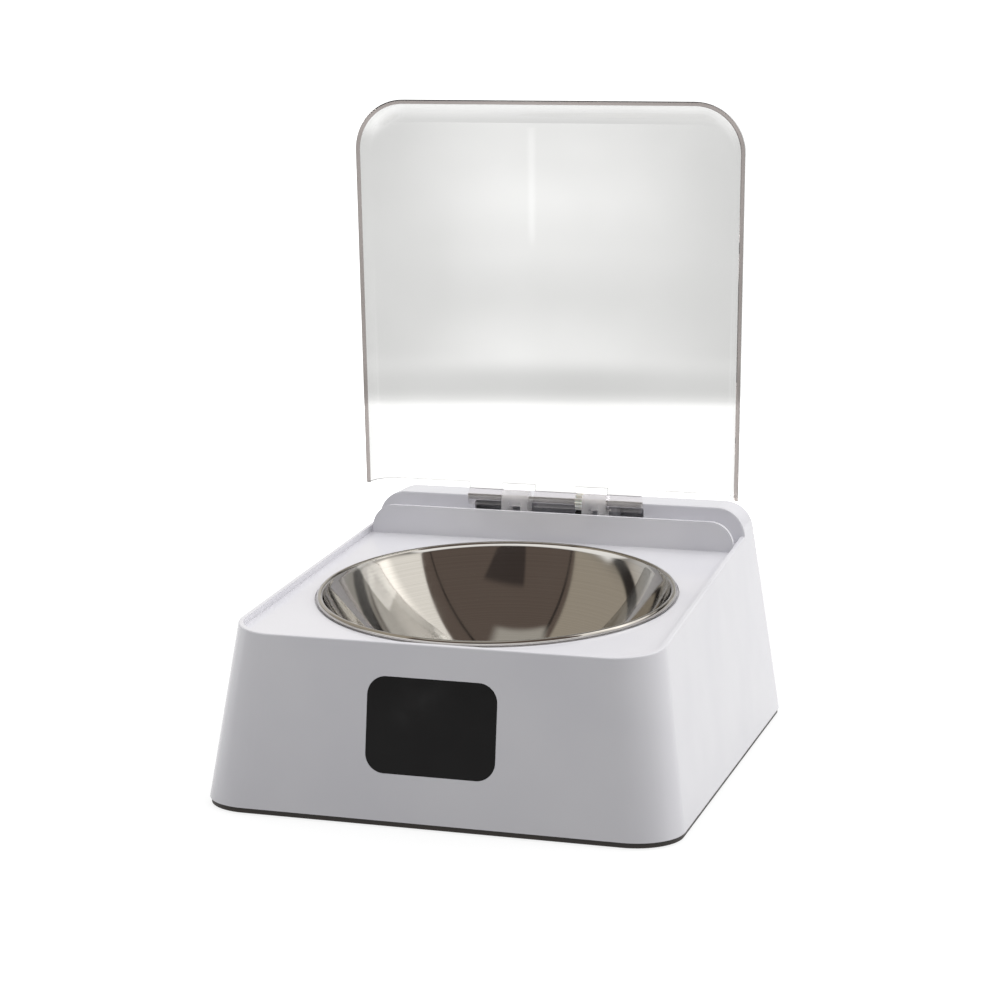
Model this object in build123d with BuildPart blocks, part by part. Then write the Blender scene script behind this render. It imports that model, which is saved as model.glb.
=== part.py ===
"""Lidded pet feeder: a drafted plastic housing with a steel bowl under a clear motor-driven lid.

Millimetres. +X is the feeder's right, -Y its front, +Z up. The origin is on the floor, under the
middle of the footprint. The lid stands open at rest.
"""
from build123d import *
import os
from math import acos, atan2, cos, pi, radians, sin, tan

os.makedirs("parts", exist_ok=True)

# ---- driving dimensions: housing ----
base_width = 240.0          # footprint, left to right
base_depth = 274.0          # footprint, front to rear
base_band = 3.2             # floor to the housing's lower edge
wall = 2.3                  # housing wall
side_draft = 8.09           # degrees from upright
front_draft = 6.75
rear_draft = 5.7
front_corner_radius = 25.0  # in plan
rear_corner_radius = 6.0
front_rim_height = 88.5     # floor to the rim at the front
rim_slope = 4.6             # degrees, the rim and deck rise to the rear
rim_land = 2.3              # width of the rim's top
deck_drop = 3.8             # rim to deck
hump_rise = 15.38           # hump's top above the rim, at the hump's face
hump_depth = 40.0           # footprint's rear edge to the hump's face
hump_shoulder = 15.8        # radius of the hump's long shoulders
curb_setback = 19.0         # hump's face to the cross curb's front
curb_thickness = 2.6
curb_rise = 15.91           # curb's top above the deck
curb_shoulder = 12.8
edge_round = 0.8
hinge_window_half = 48.5    # opening in the hump's face, half its width
hinge_window_sill = 2.1     # deck to the opening's lower edge
hinge_window_head = 2.7     # opening's upper edge to the hump's top
curb_end_gap = 0.5          # curb's ends inside the closed lid's side walls
slot_side_gap = 0.6         # slot for the idler, beside the gear
slot_front_gap = 1.0        # and in front of it
boss_radius = 4.0
front_post_inset = (23.0, 29.0)     # screw posts inside the footprint's edges, x and y
middle_post_inset = (18.0, 159.0)   # y from the front edge
rear_post_inset = (32.0, 23.0)
screw_pilot = 1.3
screw_depth = 14.0
screw_head_radius = 2.6
screw_head_height = 2.4
small_pilot = 0.9           # small screws: pilot holes, depth and heads
small_screw_length = 8.0
small_head_radius = 2.0
small_head_height = 1.2
screw_end_gap = 1.0         # a screw stops short of its hole's end
cross_reach = 1.3           # cross recess in a screw's head, in head radii
cross_width = 0.28
cross_depth_share = 0.55    # in head heights

# ---- driving dimensions: base ----
base_inset = 0.8            # base plate inside the housing's outline
foot_height = 0.6           # feet stand below the base plate
foot_radius = 8.0
foot_recess = 1.2
front_foot_inset = (40.0, 17.0)
rear_foot_inset = (14.0, 17.0)
lip_height = 4.0
lip_thickness = 1.8
foot_round = 0.4
fit_gap = 0.3               # clearance between pieces that slide together
trim_gap = 0.1              # clearance round pieces that are let in

# ---- driving dimensions: bowl ----
bowl_rearward = 1.1         # bowl's middle behind the deck's middle
bowl_end_gap = 10.6         # rolled rim's middle to the deck's front and to the curb
bowl_side_gap = 14.2        # and to the deck's sides, where those are nearer
bowl_mouth_inset = 1.8      # mouth inside the rolled rim's middle
bowl_depth = 56.0
bowl_side_radius = 120.0    # inside, of the side's curve from rim to corner
bowl_mouth_slope = radians(64)
bowl_wall = 0.9
bowl_bead = 1.7             # radius of the rolled rim
bowl_corner = 40.0          # inside, floor to side
seat_depth = 1.2            # ledge that the rim stands on, below the deck
seat_margin = 2.6           # seat beyond the rolled rim's middle
bowl_hole_margin = 1.1      # bowl's hole beyond its mouth
bowl_lift = 11.0

# ---- driving dimensions: lid and hinge ----
hinge_setback = 5.4         # hinge axis in front of the hump's face
hinge_rise = 0.1            # hinge axis above the hump's top
lid_swing = 92.0            # degrees between closed and open
lid_wall = 2.2
lid_rear = 8.4              # hinge axis to the lid's rear edge, along the lid
lid_front_margin = 0.6      # lid's free end inside the rim's outer edge
lid_seat_gap = 0.3          # closed lid above the rim
lid_crown = 0.6             # lid's outer face above the hinge axis
lid_side_margin = 0.3
lid_shoulder = 15.2
lid_corner_radius = 27.0
lid_edge_round = 0.5
barrel_radius = 4.6
shaft_radius = 1.5
running_gap = 0.08
lid_knuckles = ((-49.6, -30.4), (-11.8, 11.4), (29.5, 48.4))
fixed_knuckles = ((-30.0, -15.2), (16.0, 29.1))
shaft_overhang = 0.6
arm_overlap = 1.5           # knuckle arms into the lid's rear edge
web_thickness = 4.0
bracket_foot_thickness = 2.2
bracket_foot_setback = (14.2, 0.4)      # feet, from the hump's face
bracket_foot_end = 46.0     # feet reach this far to either side
bracket_foot_start = 16.6   # right bracket's foot, beside the idler's slot
bracket_screw_x = 41.0
bracket_screw_setback = 8.5
bracket_boss_radius = 3.0
bracket_boss_length = 5.0
web_setback = (12.4, 0.8)
cheek_radius = 4.0          # round the idler's axle

# ---- driving dimensions: gears ----
lid_module = 0.7
lid_pinion_teeth = 12
idler_teeth = 28
drive_teeth = 38
drive_plane_x = 11.9        # left face of the lid's gears
drive_face = 3.6
idler_bearing = 280.0       # degrees, hinge axis to idler axis, in the Y-Z plane
drive_bearing = 275.0
box_module = 0.5
box_wheel_teeth = 36
box_pinion_teeth = 12
first_layer_x = 30.8        # left face of the layer next to the motor
layer_pitch = 3.0
layer_face = 2.6
layer_end_gap = 0.6         # first layer to the box's cover
second_axle_bearing = 290.0
motor_bearing = 250.0
tooth_backlash = 0.10       # taken off each tooth, along the pitch circle
centre_gap = 0.12           # added to each pair's centre distance
addendum = 0.9              # in modules
dedendum = 1.25
output_shaft_radius = 2.0
output_journal_radius = 1.25    # the same shaft inside the box, past its gear
gear_axle_radius = 1.0
idler_axle_radius = 1.5
axle_head_radius = 2.6
axle_head_length = 1.0
drive_hub_radius = 4.0
drive_hub_length = 2.0
idler_hole_radius = 1.9     # lightening holes
idler_hole_circle = 5.8
drive_hole_radius = 2.2
drive_hole_circle = 7.4

# ---- driving dimensions: gearbox and motor ----
box_wall = 2.0
box_left_x = 18.9
box_clear = 1.0             # gear tips to the box's inside
cover_thickness = 2.0
ear_thickness = 2.5
ear_length = 8.0
ear_drop = 9.0              # top of the box to the ears' top
ear_boss_radius = 3.5
box_boss_radius = 2.6
box_boss_inset = 3.2
bushing_wall = 1.2
motor_radius = 10.0
motor_flat = 7.55
motor_length = 25.0
motor_cap_length = 4.0
motor_shaft_radius = 1.0
motor_hole_radius = 3.0     # in the box's cover
motor_screw_circle = 6.0
motor_tab = (0.6, 3.0, 4.0)
motor_tab_spacing = 9.0

# ---- driving dimensions: sensor ----
window_width = 64.8
window_height = 46.6
window_corner = 9.4
window_z = 49.2
window_thickness = 1.2
window_ledge = 4.0
sensor_board_gap = 9.0      # inside face of the front wall to the board
sensor_board_size = (86.0, 30.0, 1.6)
sensor_post_x = 38.0
sensor_post_radius = 3.0
led_radius = 2.5
led_length = 6.5
led_flange_radius = 2.9
led_flange_length = 1.0
led_spacing = 22.0
hood_wall = 1.0
hood_length = 7.5
socket_size = (9.0, 6.5, 6.0)
sensor_socket_x = 24.0

# ---- driving dimensions: power ----
cell_radius = 13.0
cell_length = 50.0
cell_nub = 1.5
cell_nub_radius = 3.4
cell_count = 3
spring_length = 9.0
spring_radius = 5.5
spring_wire = 0.5
spring_turns = 4
contact_thickness = 0.5
battery_setback = 54.0      # footprint's rear edge to the row of cells
bay_wall = 1.8
bay_clear = 0.4
bay_side_gap = 1.0
bay_ledge = 3.0
door_flange = 1.3
door_tab = (16.0, 14.0, 2.2)    # screwed tab: width, length, thickness
door_screw_gap = 2.0            # screw's head to the door's flange
door_tab_lap = 4.0              # tab into the flange
door_pad_height = 2.0           # base thickened over the tab
door_boss_height = 9.0
contact_width = 14.0
contact_tab = (4.0, 6.0)    # width, and height above the bay's roof
rear_panel_z = 26.0
jack_x = -40.0
jack_size = (10.0, 11.0, 13.0)
jack_nose_radius = 4.4
jack_bore = 2.8
jack_bore_depth = 9.0
jack_pin_radius = 0.9
switch_x = -66.0
switch_size = (19.0, 8.0, 9.0)
switch_pocket = 2.5
switch_slot = (10.0, 4.4)
switch_knob = (4.4, 3.8)
switch_travel = 4.0
knob_proud = 2.0

# ---- driving dimensions: main board ----
main_board_size = (84.0, 52.0, 1.6)
main_board_setback = 75.0   # footprint's front edge to the board's middle
main_post_height = 6.0
main_post_inset = 5.0
main_post_radius = 3.0
board_round = 2.0
socket_edge = 0.5           # sockets inside the board's edge
capacitor_inset = 10.0      # board's rear edge to the capacitors
large_chip = (14.0, 14.0, 1.6)
small_chip = (8.0, 5.0, 1.5)
chip_gap = 8.0
chip_rearward = 2.0         # chips behind the board's middle
capacitor_radius = 4.0
capacitor_height = 12.0
capacitor_round = 0.3
capacitor_spacing = 11.0

# ---- driving dimensions: wiring ----
lead_radius = 1.1
lead_bend = 4.5
motor_socket_x = 26.0
battery_socket_x = 7.0
sensor_run = 8.0            # straight runs out of the sensor's socket and the power socket
jack_run = 9.0
lead_spacing = 6.5          # between the two crossing leads behind the rear wall
motor_run = 12.0
battery_run = 16.0
lead_drop_gap = 10.0        # leads drop to the floor in front of the battery bay
motor_cross_gap = 16.0      # leads cross behind the main board
battery_cross_gap = 22.0


# ---- geometry worked out from the dimensions ----
front_y = -base_depth / 2
rim_front_y = front_y + tan(radians(front_draft)) * (front_rim_height - base_band)
hump_face = base_depth / 2 - hump_depth
curb_front = hump_face - curb_setback
deck_front = rim_front_y + rim_land
bowl_y = (deck_front + curb_front) / 2 + bowl_rearward
hinge_y = hump_face - hinge_setback
battery_y = base_depth / 2 - battery_setback
main_board_y = front_y + main_board_setback


def rim_z(y):
    """Height of the sloping rim at y."""
    return front_rim_height + tan(radians(rim_slope)) * (y - rim_front_y)


def deck_z(y):
    return rim_z(y) - deck_drop


def under_deck_z(y):
    return deck_z(y) - wall


hump_height = rim_z(hump_face) + hump_rise
curb_height = deck_z(curb_front) + curb_rise
hinge_z = hump_height + hinge_rise
hinge_window_low = deck_z(hump_face) + hinge_window_sill
hinge_window_high = hump_height - hinge_window_head


def outline_at(z, inset):
    """Half width, front y and rear y of the drafted walls at height z."""
    rise = z - base_band
    half = base_width / 2 - tan(radians(side_draft)) * rise - inset
    return (half, front_y + tan(radians(front_draft)) * rise + inset,
            base_depth / 2 - tan(radians(rear_draft)) * rise - inset)


def walled_form(inset, z_low, z_high, side_points, shoulder=0.0, rear_round=0.0):
    """A solid inside the drafted walls, with the given outline from the side and round corners."""
    with BuildPart() as form:
        low_half = outline_at(z_low, inset)[0]
        high_half = outline_at(z_high, inset)[0]
        with BuildSketch(Plane.XZ):
            with BuildLine():
                Polyline((-low_half, z_low), (low_half, z_low), (high_half, z_high),
                         (-high_half, z_high), close=True)
            make_face()
        extrude(amount=base_depth, both=True)
        with BuildSketch(Plane.YZ):
            with BuildLine():
                Polyline(*side_points, close=True)
            make_face()
        extrude(amount=base_width, both=True, mode=Mode.INTERSECT)
        if shoulder:
            top_edges = form.faces().sort_by(Axis.Z)[-1].edges().sort_by(Axis.X)
            fillet([top_edges[0], top_edges[-1]], shoulder)
        if rear_round:
            fillet(form.faces().sort_by(Axis.Y)[-1].edges().sort_by(Axis.Z)[1:], rear_round)
        uprights = form.faces().sort_by(Axis.Y)[0].edges().sort_by(Axis.X)
        fillet([uprights[0], uprights[-1]], front_corner_radius - inset)
    return form.part


def stepped_side(inset, z_low, ledge, z_high):
    """Side outline: drafted front, sloping ledge up to the hump's face, hump and drafted rear."""
    y_ledge = outline_at(ledge(outline_at(front_rim_height, inset)[1]), inset)[1]
    return ((outline_at(z_low, inset)[1], z_low), (y_ledge, ledge(y_ledge)),
            (hump_face + inset, ledge(hump_face + inset)), (hump_face + inset, z_high),
            (outline_at(z_high, inset)[2], z_high), (outline_at(z_low, inset)[2], z_low))


def at_yz(x, y, z, facing=1):
    """Plane across X at a point, facing +X or -X, with local y up."""
    return Plane(origin=(x, y, z), x_dir=(0, facing, 0), z_dir=(facing, 0, 0))


deck_plane = Plane(origin=(0, bowl_y, deck_z(bowl_y)), x_dir=(1, 0, 0),
                   z_dir=(0, -sin(radians(rim_slope)), cos(radians(rim_slope))))
window_plane = Plane(origin=(0, outline_at(window_z, 0)[1], window_z), x_dir=(1, 0, 0),
                     z_dir=(0, -cos(radians(front_draft)), sin(radians(front_draft))))


def rear_plane(x):
    """On the rear wall's outer face, facing out."""
    return Plane(origin=(x, outline_at(rear_panel_z, 0)[2], rear_panel_z), x_dir=(-1, 0, 0),
                 z_dir=(0, cos(radians(rear_draft)), sin(radians(rear_draft))))



# the bowl fills the deck between its front and the curb, or between its sides
deck_half = outline_at(deck_z(bowl_y), rim_land)[0]
bowl_bead_centre = min((curb_front - deck_front) / 2 - bowl_end_gap, deck_half - bowl_side_gap)
bowl_mouth_radius = bowl_bead_centre - bowl_mouth_inset
seat_radius = bowl_bead_centre + seat_margin
bowl_hole_radius = bowl_mouth_radius + bowl_hole_margin


def both_sides(inset, from_front):
    """The two places at an inset from the footprint's sides and its front or rear edge: x, y."""
    x = base_width / 2 - inset[0]
    y = front_y + inset[1] if from_front else -front_y - inset[1]
    return ((-x, y), (x, y))


# screw posts between the base and the housing, and the feet
screw_posts = (both_sides(front_post_inset, True) + both_sides(middle_post_inset, True) +
               both_sides(rear_post_inset, False))
foot_places = both_sides(front_foot_inset, True) + both_sides(rear_foot_inset, False)
post_low_z = base_band + 2.4

# the bay, for a row of cells between a contact and a spring
bay_length = cell_count * cell_length + spring_length + 2 * contact_thickness + 2 * bay_clear
bay_width = 2 * cell_radius + 2 * bay_side_gap
battery_z = base_band + fit_gap + cell_radius
bay_roof_z = battery_z + cell_radius + bay_clear
door_screw_y = battery_y - bay_width / 2 - bay_ledge - small_head_radius - door_screw_gap
door_tab_y = battery_y - bay_width / 2 - bay_ledge - door_tab[1] / 2 + door_tab_lap

# the main board's posts and top
main_posts = [(x, y) for x in (-main_board_size[0] / 2 + main_post_inset,
                               main_board_size[0] / 2 - main_post_inset)
              for y in (main_board_y - main_board_size[1] / 2 + main_post_inset,
                        main_board_y + main_board_size[1] / 2 - main_post_inset)]
main_board_z = base_band + main_post_height
main_top_z = main_board_z + main_board_size[2]

# ---- gears: places and phases ----


def pitch_radius(module, teeth):
    return module * teeth / 2


def along(y, z, distance, bearing):
    """The point at a distance and bearing, in the Y-Z plane."""
    return y + distance * cos(radians(bearing)), z + distance * sin(radians(bearing))


def meshed_phase(teeth, phase, bearing, next_teeth):
    """Angle of a tooth on the next gear, so that it falls in the first gear's gap."""
    return bearing + 180 + 360 / next_teeth * (0.5 - teeth * (phase - bearing) / 360)


idler_distance = lid_module * (lid_pinion_teeth + idler_teeth) / 2 + centre_gap
drive_distance = lid_module * (idler_teeth + drive_teeth) / 2 + centre_gap
box_distance = box_module * (box_wheel_teeth + box_pinion_teeth) / 2 + centre_gap
idler_y, idler_z = along(hinge_y, hinge_z, idler_distance, idler_bearing)
output_y, output_z = along(idler_y, idler_z, drive_distance, drive_bearing)
axle_y, axle_z = along(output_y, output_z, box_distance, second_axle_bearing)
motor_y, motor_z = along(axle_y, axle_z, box_distance, motor_bearing)
slot_front_y = idler_y - pitch_radius(lid_module, idler_teeth) - addendum * lid_module - slot_front_gap
bracket_screw_y = hump_face - bracket_screw_setback

lid_pinion_phase = 90.0
idler_phase = meshed_phase(lid_pinion_teeth, lid_pinion_phase, idler_bearing, idler_teeth)
drive_phase = meshed_phase(idler_teeth, idler_phase, drive_bearing, drive_teeth)
# each wheel of the box shares its piece's phase with the pinion beside it
output_phase = 0.0
third_pinion_phase = meshed_phase(box_wheel_teeth, output_phase, second_axle_bearing, box_pinion_teeth)
second_pinion_phase = meshed_phase(box_wheel_teeth, third_pinion_phase, second_axle_bearing + 180,
                                   box_pinion_teeth)
first_pinion_phase = meshed_phase(box_wheel_teeth, second_pinion_phase, second_axle_bearing,
                                  box_pinion_teeth)
motor_pinion_phase = meshed_phase(box_wheel_teeth, first_pinion_phase, motor_bearing, box_pinion_teeth)


# ---- gearbox outline, in the Y-Z plane ----
wheel_reach = pitch_radius(box_module, box_wheel_teeth) + addendum * box_module + box_clear + box_wall
box_front_y = output_y - wheel_reach
box_rear_y = axle_y + wheel_reach
box_top_z = output_z + wheel_reach
box_low_z = motor_z - motor_radius - box_wall
box_mid_y = (box_front_y + box_rear_y) / 2
box_mid_z = (box_low_z + box_top_z) / 2
box_right_x = first_layer_x + layer_face + layer_end_gap
cover_right_x = box_right_x + cover_thickness
box_mid_x = (box_left_x + cover_right_x) / 2
ear_top_z = box_top_z - ear_drop
ear_screws = ((box_mid_x, box_front_y - ear_length / 2), (box_mid_x, box_rear_y + ear_length / 2))
box_corners = [(y, z) for y in (box_front_y + box_boss_inset, box_rear_y - box_boss_inset)
               for z in (box_low_z + box_boss_inset, box_top_z - box_boss_inset)]


def layer_x(layer):
    """Left face of a gear layer; layer 1 is next to the motor."""
    return first_layer_x - (layer - 1) * layer_pitch


def tooth_outline(module, teeth, phase):
    """Points round a gear: involute flanks with backlash, in the Y-Z plane about its axis."""
    pitch = pitch_radius(module, teeth)
    pressure = radians(20)
    base = pitch * cos(pressure)
    root = pitch - dedendum * module
    tip = pitch + addendum * module
    half_at_pitch = pi / (2 * teeth) - tooth_backlash / 2 / pitch

    def half_angle(radius):
        if radius <= base:
            radius = base
        slip = acos(base / radius)
        return half_at_pitch + (tan(pressure) - pressure) - (tan(slip) - slip)

    radii = (root, max(base, root + 0.1 * module), pitch, (pitch + tip) / 2, tip)
    points = []
    for tooth in range(teeth):
        centre = radians(phase) + 2 * pi * tooth / teeth
        for side, order in ((-1, radii), (1, tuple(reversed(radii)))):
            for radius in order:
                turn = centre + side * half_angle(radius)
                points.append((radius * cos(turn), radius * sin(turn)))
    return points


# ================= housing =================
outer_form = walled_form(0, base_band, hump_height, stepped_side(0, base_band, rim_z, hump_height),
                         hump_shoulder, rear_corner_radius)
cavity_low = base_band - 2
cavity_high = hump_height - wall
cavity_form = walled_form(wall, cavity_low, cavity_high,
                          stepped_side(wall, cavity_low, under_deck_z, cavity_high),
                          hump_shoulder - wall, rear_corner_radius - wall)
recess_high = hump_height + 5
recess_front = outline_at(front_rim_height - deck_drop, rim_land)[1]
recess_form = walled_form(rim_land, front_rim_height - 2 * deck_drop, recess_high,
                          ((recess_front, deck_z(recess_front)), (hump_face, deck_z(hump_face)),
                           (hump_face, recess_high),
                           (outline_at(recess_high, rim_land)[1], recess_high)))

deck_normal = (0, -sin(radians(rim_slope)), cos(radians(rim_slope)))


def floor_plane(x, y):
    """On the trough's sloping floor, facing up."""
    return Plane(origin=(x, y, deck_z(y)), x_dir=(1, 0, 0), z_dir=deck_normal)


# the lid's depth below the hinge axis when closed, its length and its half widths
lid_drop = (hinge_z - rim_z(hinge_y)) * cos(radians(rim_slope)) - lid_seat_gap
lid_length = (hinge_y - rim_front_y - lid_front_margin +
              lid_drop * sin(radians(rim_slope))) / cos(radians(rim_slope))


def lid_half(u):
    """Lid's outer half width at a distance from the hinge axis."""
    return outline_at(rim_z(hinge_y - u * cos(radians(rim_slope))), 0)[0] - lid_side_margin


curb_half = lid_half(hinge_y - curb_front) - lid_wall - curb_end_gap

with BuildPart() as housing:
    add(outer_form)
    rim_edges = housing.edges().filter_by(lambda e: e.center().Y < hump_face - 1 and
                                          e.center().Z > front_rim_height - 1)
    hump_edges = housing.edges().filter_by(lambda e: abs(e.center().Y - hump_face) < 0.01 and
                                           e.center().Z > rim_z(hump_face) + 1)
    fillet(rim_edges + hump_edges, edge_round)
    add(cavity_form, mode=Mode.SUBTRACT)
    # screw posts, from the base up into the deck or the hump
    for x, y in screw_posts:
        top = under_deck_z(y) + wall / 2 if y < hump_face else hump_height - wall / 2
        with BuildSketch(Plane.XY.offset(post_low_z)):
            with Locations((x, y)):
                Circle(boss_radius)
        extrude(amount=top - post_low_z)
    # posts that hang down to the gearbox's ears, and bosses under the hinge brackets
    for x, y in ear_screws:
        top = under_deck_z(y) + wall / 2 if y < hump_face else hump_height - wall / 2
        with BuildSketch(Plane.XY.offset(ear_top_z)):
            with Locations((x, y)):
                Circle(ear_boss_radius)
        extrude(amount=top - ear_top_z)
    for x in (-bracket_screw_x, bracket_screw_x):
        with BuildSketch(floor_plane(x, bracket_screw_y).offset(-wall / 2)):
            Circle(bracket_boss_radius)
        extrude(amount=wall / 2 - bracket_boss_length - wall)
    add(recess_form, mode=Mode.SUBTRACT)
    # cross curb in front of the hinge, with round shoulders
    curb_low = deck_z(curb_front) - wall / 2
    with BuildSketch(Plane.XZ.offset(-curb_front)) as curb:
        with Locations((0, (curb_height + curb_low) / 2)):
            Rectangle(2 * curb_half, curb_height - curb_low)
        fillet(curb.vertices().sort_by(Axis.Y)[-2:], curb_shoulder)
    extrude(amount=-curb_thickness)
    # bowl opening with its seat
    with BuildSketch(deck_plane.offset(-seat_depth)):
        Circle(seat_radius)
    extrude(amount=seat_depth + 1, mode=Mode.SUBTRACT)
    with BuildSketch(deck_plane):
        Circle(bowl_hole_radius)
    extrude(amount=-2 * wall, mode=Mode.SUBTRACT)
    # opening in the hump's face, and the slot in the trough's floor for the idler
    with BuildSketch(Plane.XZ.offset(-hump_face + 1)) as opening:
        with Locations((0, (hinge_window_low + hinge_window_high) / 2)):
            Rectangle(2 * hinge_window_half, hinge_window_high - hinge_window_low)
        fillet(opening.vertices(), 2 * edge_round)
    extrude(amount=-wall - 2, mode=Mode.SUBTRACT)
    with BuildSketch(Plane.XY.offset(under_deck_z(idler_y) - 2)):
        with Locations((drive_plane_x + drive_face / 2, (slot_front_y + hump_face + wall + 1) / 2)):
            Rectangle(drive_face + 2 * slot_side_gap, hump_face + wall + 1 - slot_front_y)
    extrude(amount=hinge_window_low + 1 - under_deck_z(idler_y) + 2, mode=Mode.SUBTRACT)
    # screw holes
    for x, y in screw_posts:
        with BuildSketch(Plane.XY.offset(post_low_z)):
            with Locations((x, y)):
                Circle(screw_pilot)
        extrude(amount=screw_depth, mode=Mode.SUBTRACT)
    for x, y in ear_screws:
        with BuildSketch(Plane.XY.offset(ear_top_z)):
            with Locations((x, y)):
                Circle(small_pilot)
        extrude(amount=small_screw_length - ear_thickness + 1, mode=Mode.SUBTRACT)
    for x in (-bracket_screw_x, bracket_screw_x):
        with BuildSketch(floor_plane(x, bracket_screw_y)):
            Circle(small_pilot)
        extrude(amount=-small_screw_length, mode=Mode.SUBTRACT)
    # sensor window: a ledge for the window and the opening behind it, with two posts for the board
    for x in (-sensor_post_x, sensor_post_x):
        with BuildSketch(window_plane.offset(-wall / 2)):
            with Locations((x, 0)):
                Circle(sensor_post_radius)
        extrude(amount=wall / 2 - wall - sensor_board_gap)
        with BuildSketch(window_plane.offset(-wall - sensor_board_gap)):
            with Locations((x, 0)):
                Circle(small_pilot)
        extrude(amount=sensor_board_gap - 1, mode=Mode.SUBTRACT)
    with BuildSketch(window_plane):
        RectangleRounded(window_width + 2 * trim_gap, window_height + 2 * trim_gap, window_corner)
    extrude(amount=-window_thickness, mode=Mode.SUBTRACT)
    with BuildSketch(window_plane):
        RectangleRounded(window_width - 2 * window_ledge, window_height - 2 * window_ledge,
                         window_corner - window_ledge)
    extrude(amount=-2 * wall, mode=Mode.SUBTRACT)
    # rear wall: round hole for the power socket and a slot for the switch
    with BuildSketch(rear_plane(jack_x)):
        Circle(jack_nose_radius + trim_gap)
    extrude(amount=-2 * wall, mode=Mode.SUBTRACT)
    with BuildSketch(rear_plane(switch_x)):
        RectangleRounded(switch_slot[0], switch_slot[1], 1.0)
    extrude(amount=-2 * wall, mode=Mode.SUBTRACT)
housing.part.label = "housing"
export_step(housing.part, "parts/housing.step")

# ================= base =================

def base_outline(z, inset, corner_inset):
    """Sketch of the base's outline at height z."""
    half, y_front, y_rear = outline_at(z, inset)
    with BuildSketch(mode=Mode.PRIVATE) as outline:
        with BuildLine():
            Polyline((-half, y_front), (half, y_front), (half, y_rear), (-half, y_rear), close=True)
        make_face()
        fillet(outline.vertices().sort_by(Axis.Y)[:2], front_corner_radius - corner_inset)
        fillet(outline.vertices().sort_by(Axis.Y)[-2:], max(rear_corner_radius - corner_inset, 1.0))
    return outline.sketch


with BuildPart() as base_plate:
    with BuildSketch(Plane.XY.offset(foot_height)):
        add(base_outline(base_band, base_inset, base_inset))
    extrude(amount=base_band - foot_height)
    # lip inside the housing's walls
    lip_top = base_band + lip_height
    with BuildSketch(Plane.XY.offset(base_band)):
        add(base_outline(lip_top, wall + fit_gap, wall + fit_gap))
        add(base_outline(lip_top, wall + fit_gap + lip_thickness, wall + fit_gap + lip_thickness),
            mode=Mode.SUBTRACT)
    extrude(amount=lip_height)
    # bosses under the housing's posts
    with BuildSketch(Plane.XY.offset(base_band)):
        with Locations(screw_posts):
            Circle(boss_radius)
    extrude(amount=post_low_z - base_band)
    # posts for the main board
    with BuildSketch(Plane.XY.offset(base_band)):
        with Locations(main_posts):
            Circle(main_post_radius)
    extrude(amount=main_post_height)
    # battery bay and the door's screw boss
    with BuildSketch(Plane.XY.offset(base_band)):
        with Locations((0, battery_y)):
            Rectangle(bay_length + 2 * bay_wall, bay_width + 2 * bay_wall)
        with Locations((0, door_screw_y)):
            Circle(boss_radius)
    extrude(amount=door_boss_height)
    with BuildSketch(Plane.XY.offset(base_band)):
        with Locations((0, door_tab_y)):
            Rectangle(door_tab[0] + 2 * bay_wall, door_tab[1] + 2 * bay_wall)
    extrude(amount=door_pad_height)
    with BuildSketch(Plane.XY.offset(base_band + door_boss_height)):
        with Locations((0, battery_y)):
            Rectangle(bay_length + 2 * bay_wall, bay_width + 2 * bay_wall)
    extrude(amount=bay_roof_z + bay_wall - base_band - door_boss_height)
    with BuildSketch(Plane.XY.offset(foot_height)):
        with Locations((0, battery_y)):
            Rectangle(bay_length, bay_width)
    extrude(amount=bay_roof_z - foot_height, mode=Mode.SUBTRACT)
    # recess for the door's flange and tab
    with BuildSketch(Plane.XY.offset(foot_height)):
        with Locations((0, battery_y)):
            Rectangle(bay_length + 2 * bay_ledge, bay_width + 2 * bay_ledge)
    extrude(amount=door_flange, mode=Mode.SUBTRACT)
    with BuildSketch(Plane.XY.offset(foot_height)):
        with Locations((0, door_tab_y)):
            Rectangle(door_tab[0], door_tab[1])
    extrude(amount=door_tab[2], mode=Mode.SUBTRACT)
    # screw holes
    with BuildSketch(Plane.XY.offset(foot_height)):
        with Locations(screw_posts):
            Circle(screw_head_radius + fit_gap)
    extrude(amount=screw_head_height, mode=Mode.SUBTRACT)
    with BuildSketch(Plane.XY.offset(foot_height)):
        with Locations(screw_posts):
            Circle(screw_pilot + fit_gap)
    extrude(amount=post_low_z - foot_height, mode=Mode.SUBTRACT)
    with BuildSketch(Plane.XY.offset(foot_height + door_tab[2])):
        with Locations((0, door_screw_y)):
            Circle(small_pilot)
    extrude(amount=small_screw_length, mode=Mode.SUBTRACT)
    with BuildSketch(Plane.XY.offset(main_top_z - small_screw_length)):
        with Locations(main_posts):
            Circle(small_pilot)
    extrude(amount=small_screw_length, mode=Mode.SUBTRACT)
    # slots in the bay's roof for the contacts' tabs
    with BuildSketch(Plane.XY.offset(bay_roof_z)):
        with Locations((-(bay_length - contact_thickness) / 2, battery_y),
                       ((bay_length - contact_thickness) / 2, battery_y)):
            Rectangle(contact_thickness, contact_tab[0])
    extrude(amount=bay_wall, mode=Mode.SUBTRACT)
    # recesses for the feet
    with BuildSketch(Plane.XY.offset(foot_height)):
        with Locations(foot_places):
            Circle(foot_radius + trim_gap)
    extrude(amount=foot_recess, mode=Mode.SUBTRACT)
base_plate.part.label = "base_plate"
export_step(base_plate.part, "parts/base_plate.step")

with BuildPart() as rubber_feet:
    with BuildSketch():
        with Locations(foot_places):
            Circle(foot_radius)
    extrude(amount=foot_height + foot_recess)
    fillet(rubber_feet.faces().sort_by(Axis.Z)[:4].edges(), foot_round)
rubber_feet.part.label = "rubber_feet"
export_step(rubber_feet.part, "parts/rubber_feet.step")

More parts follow.
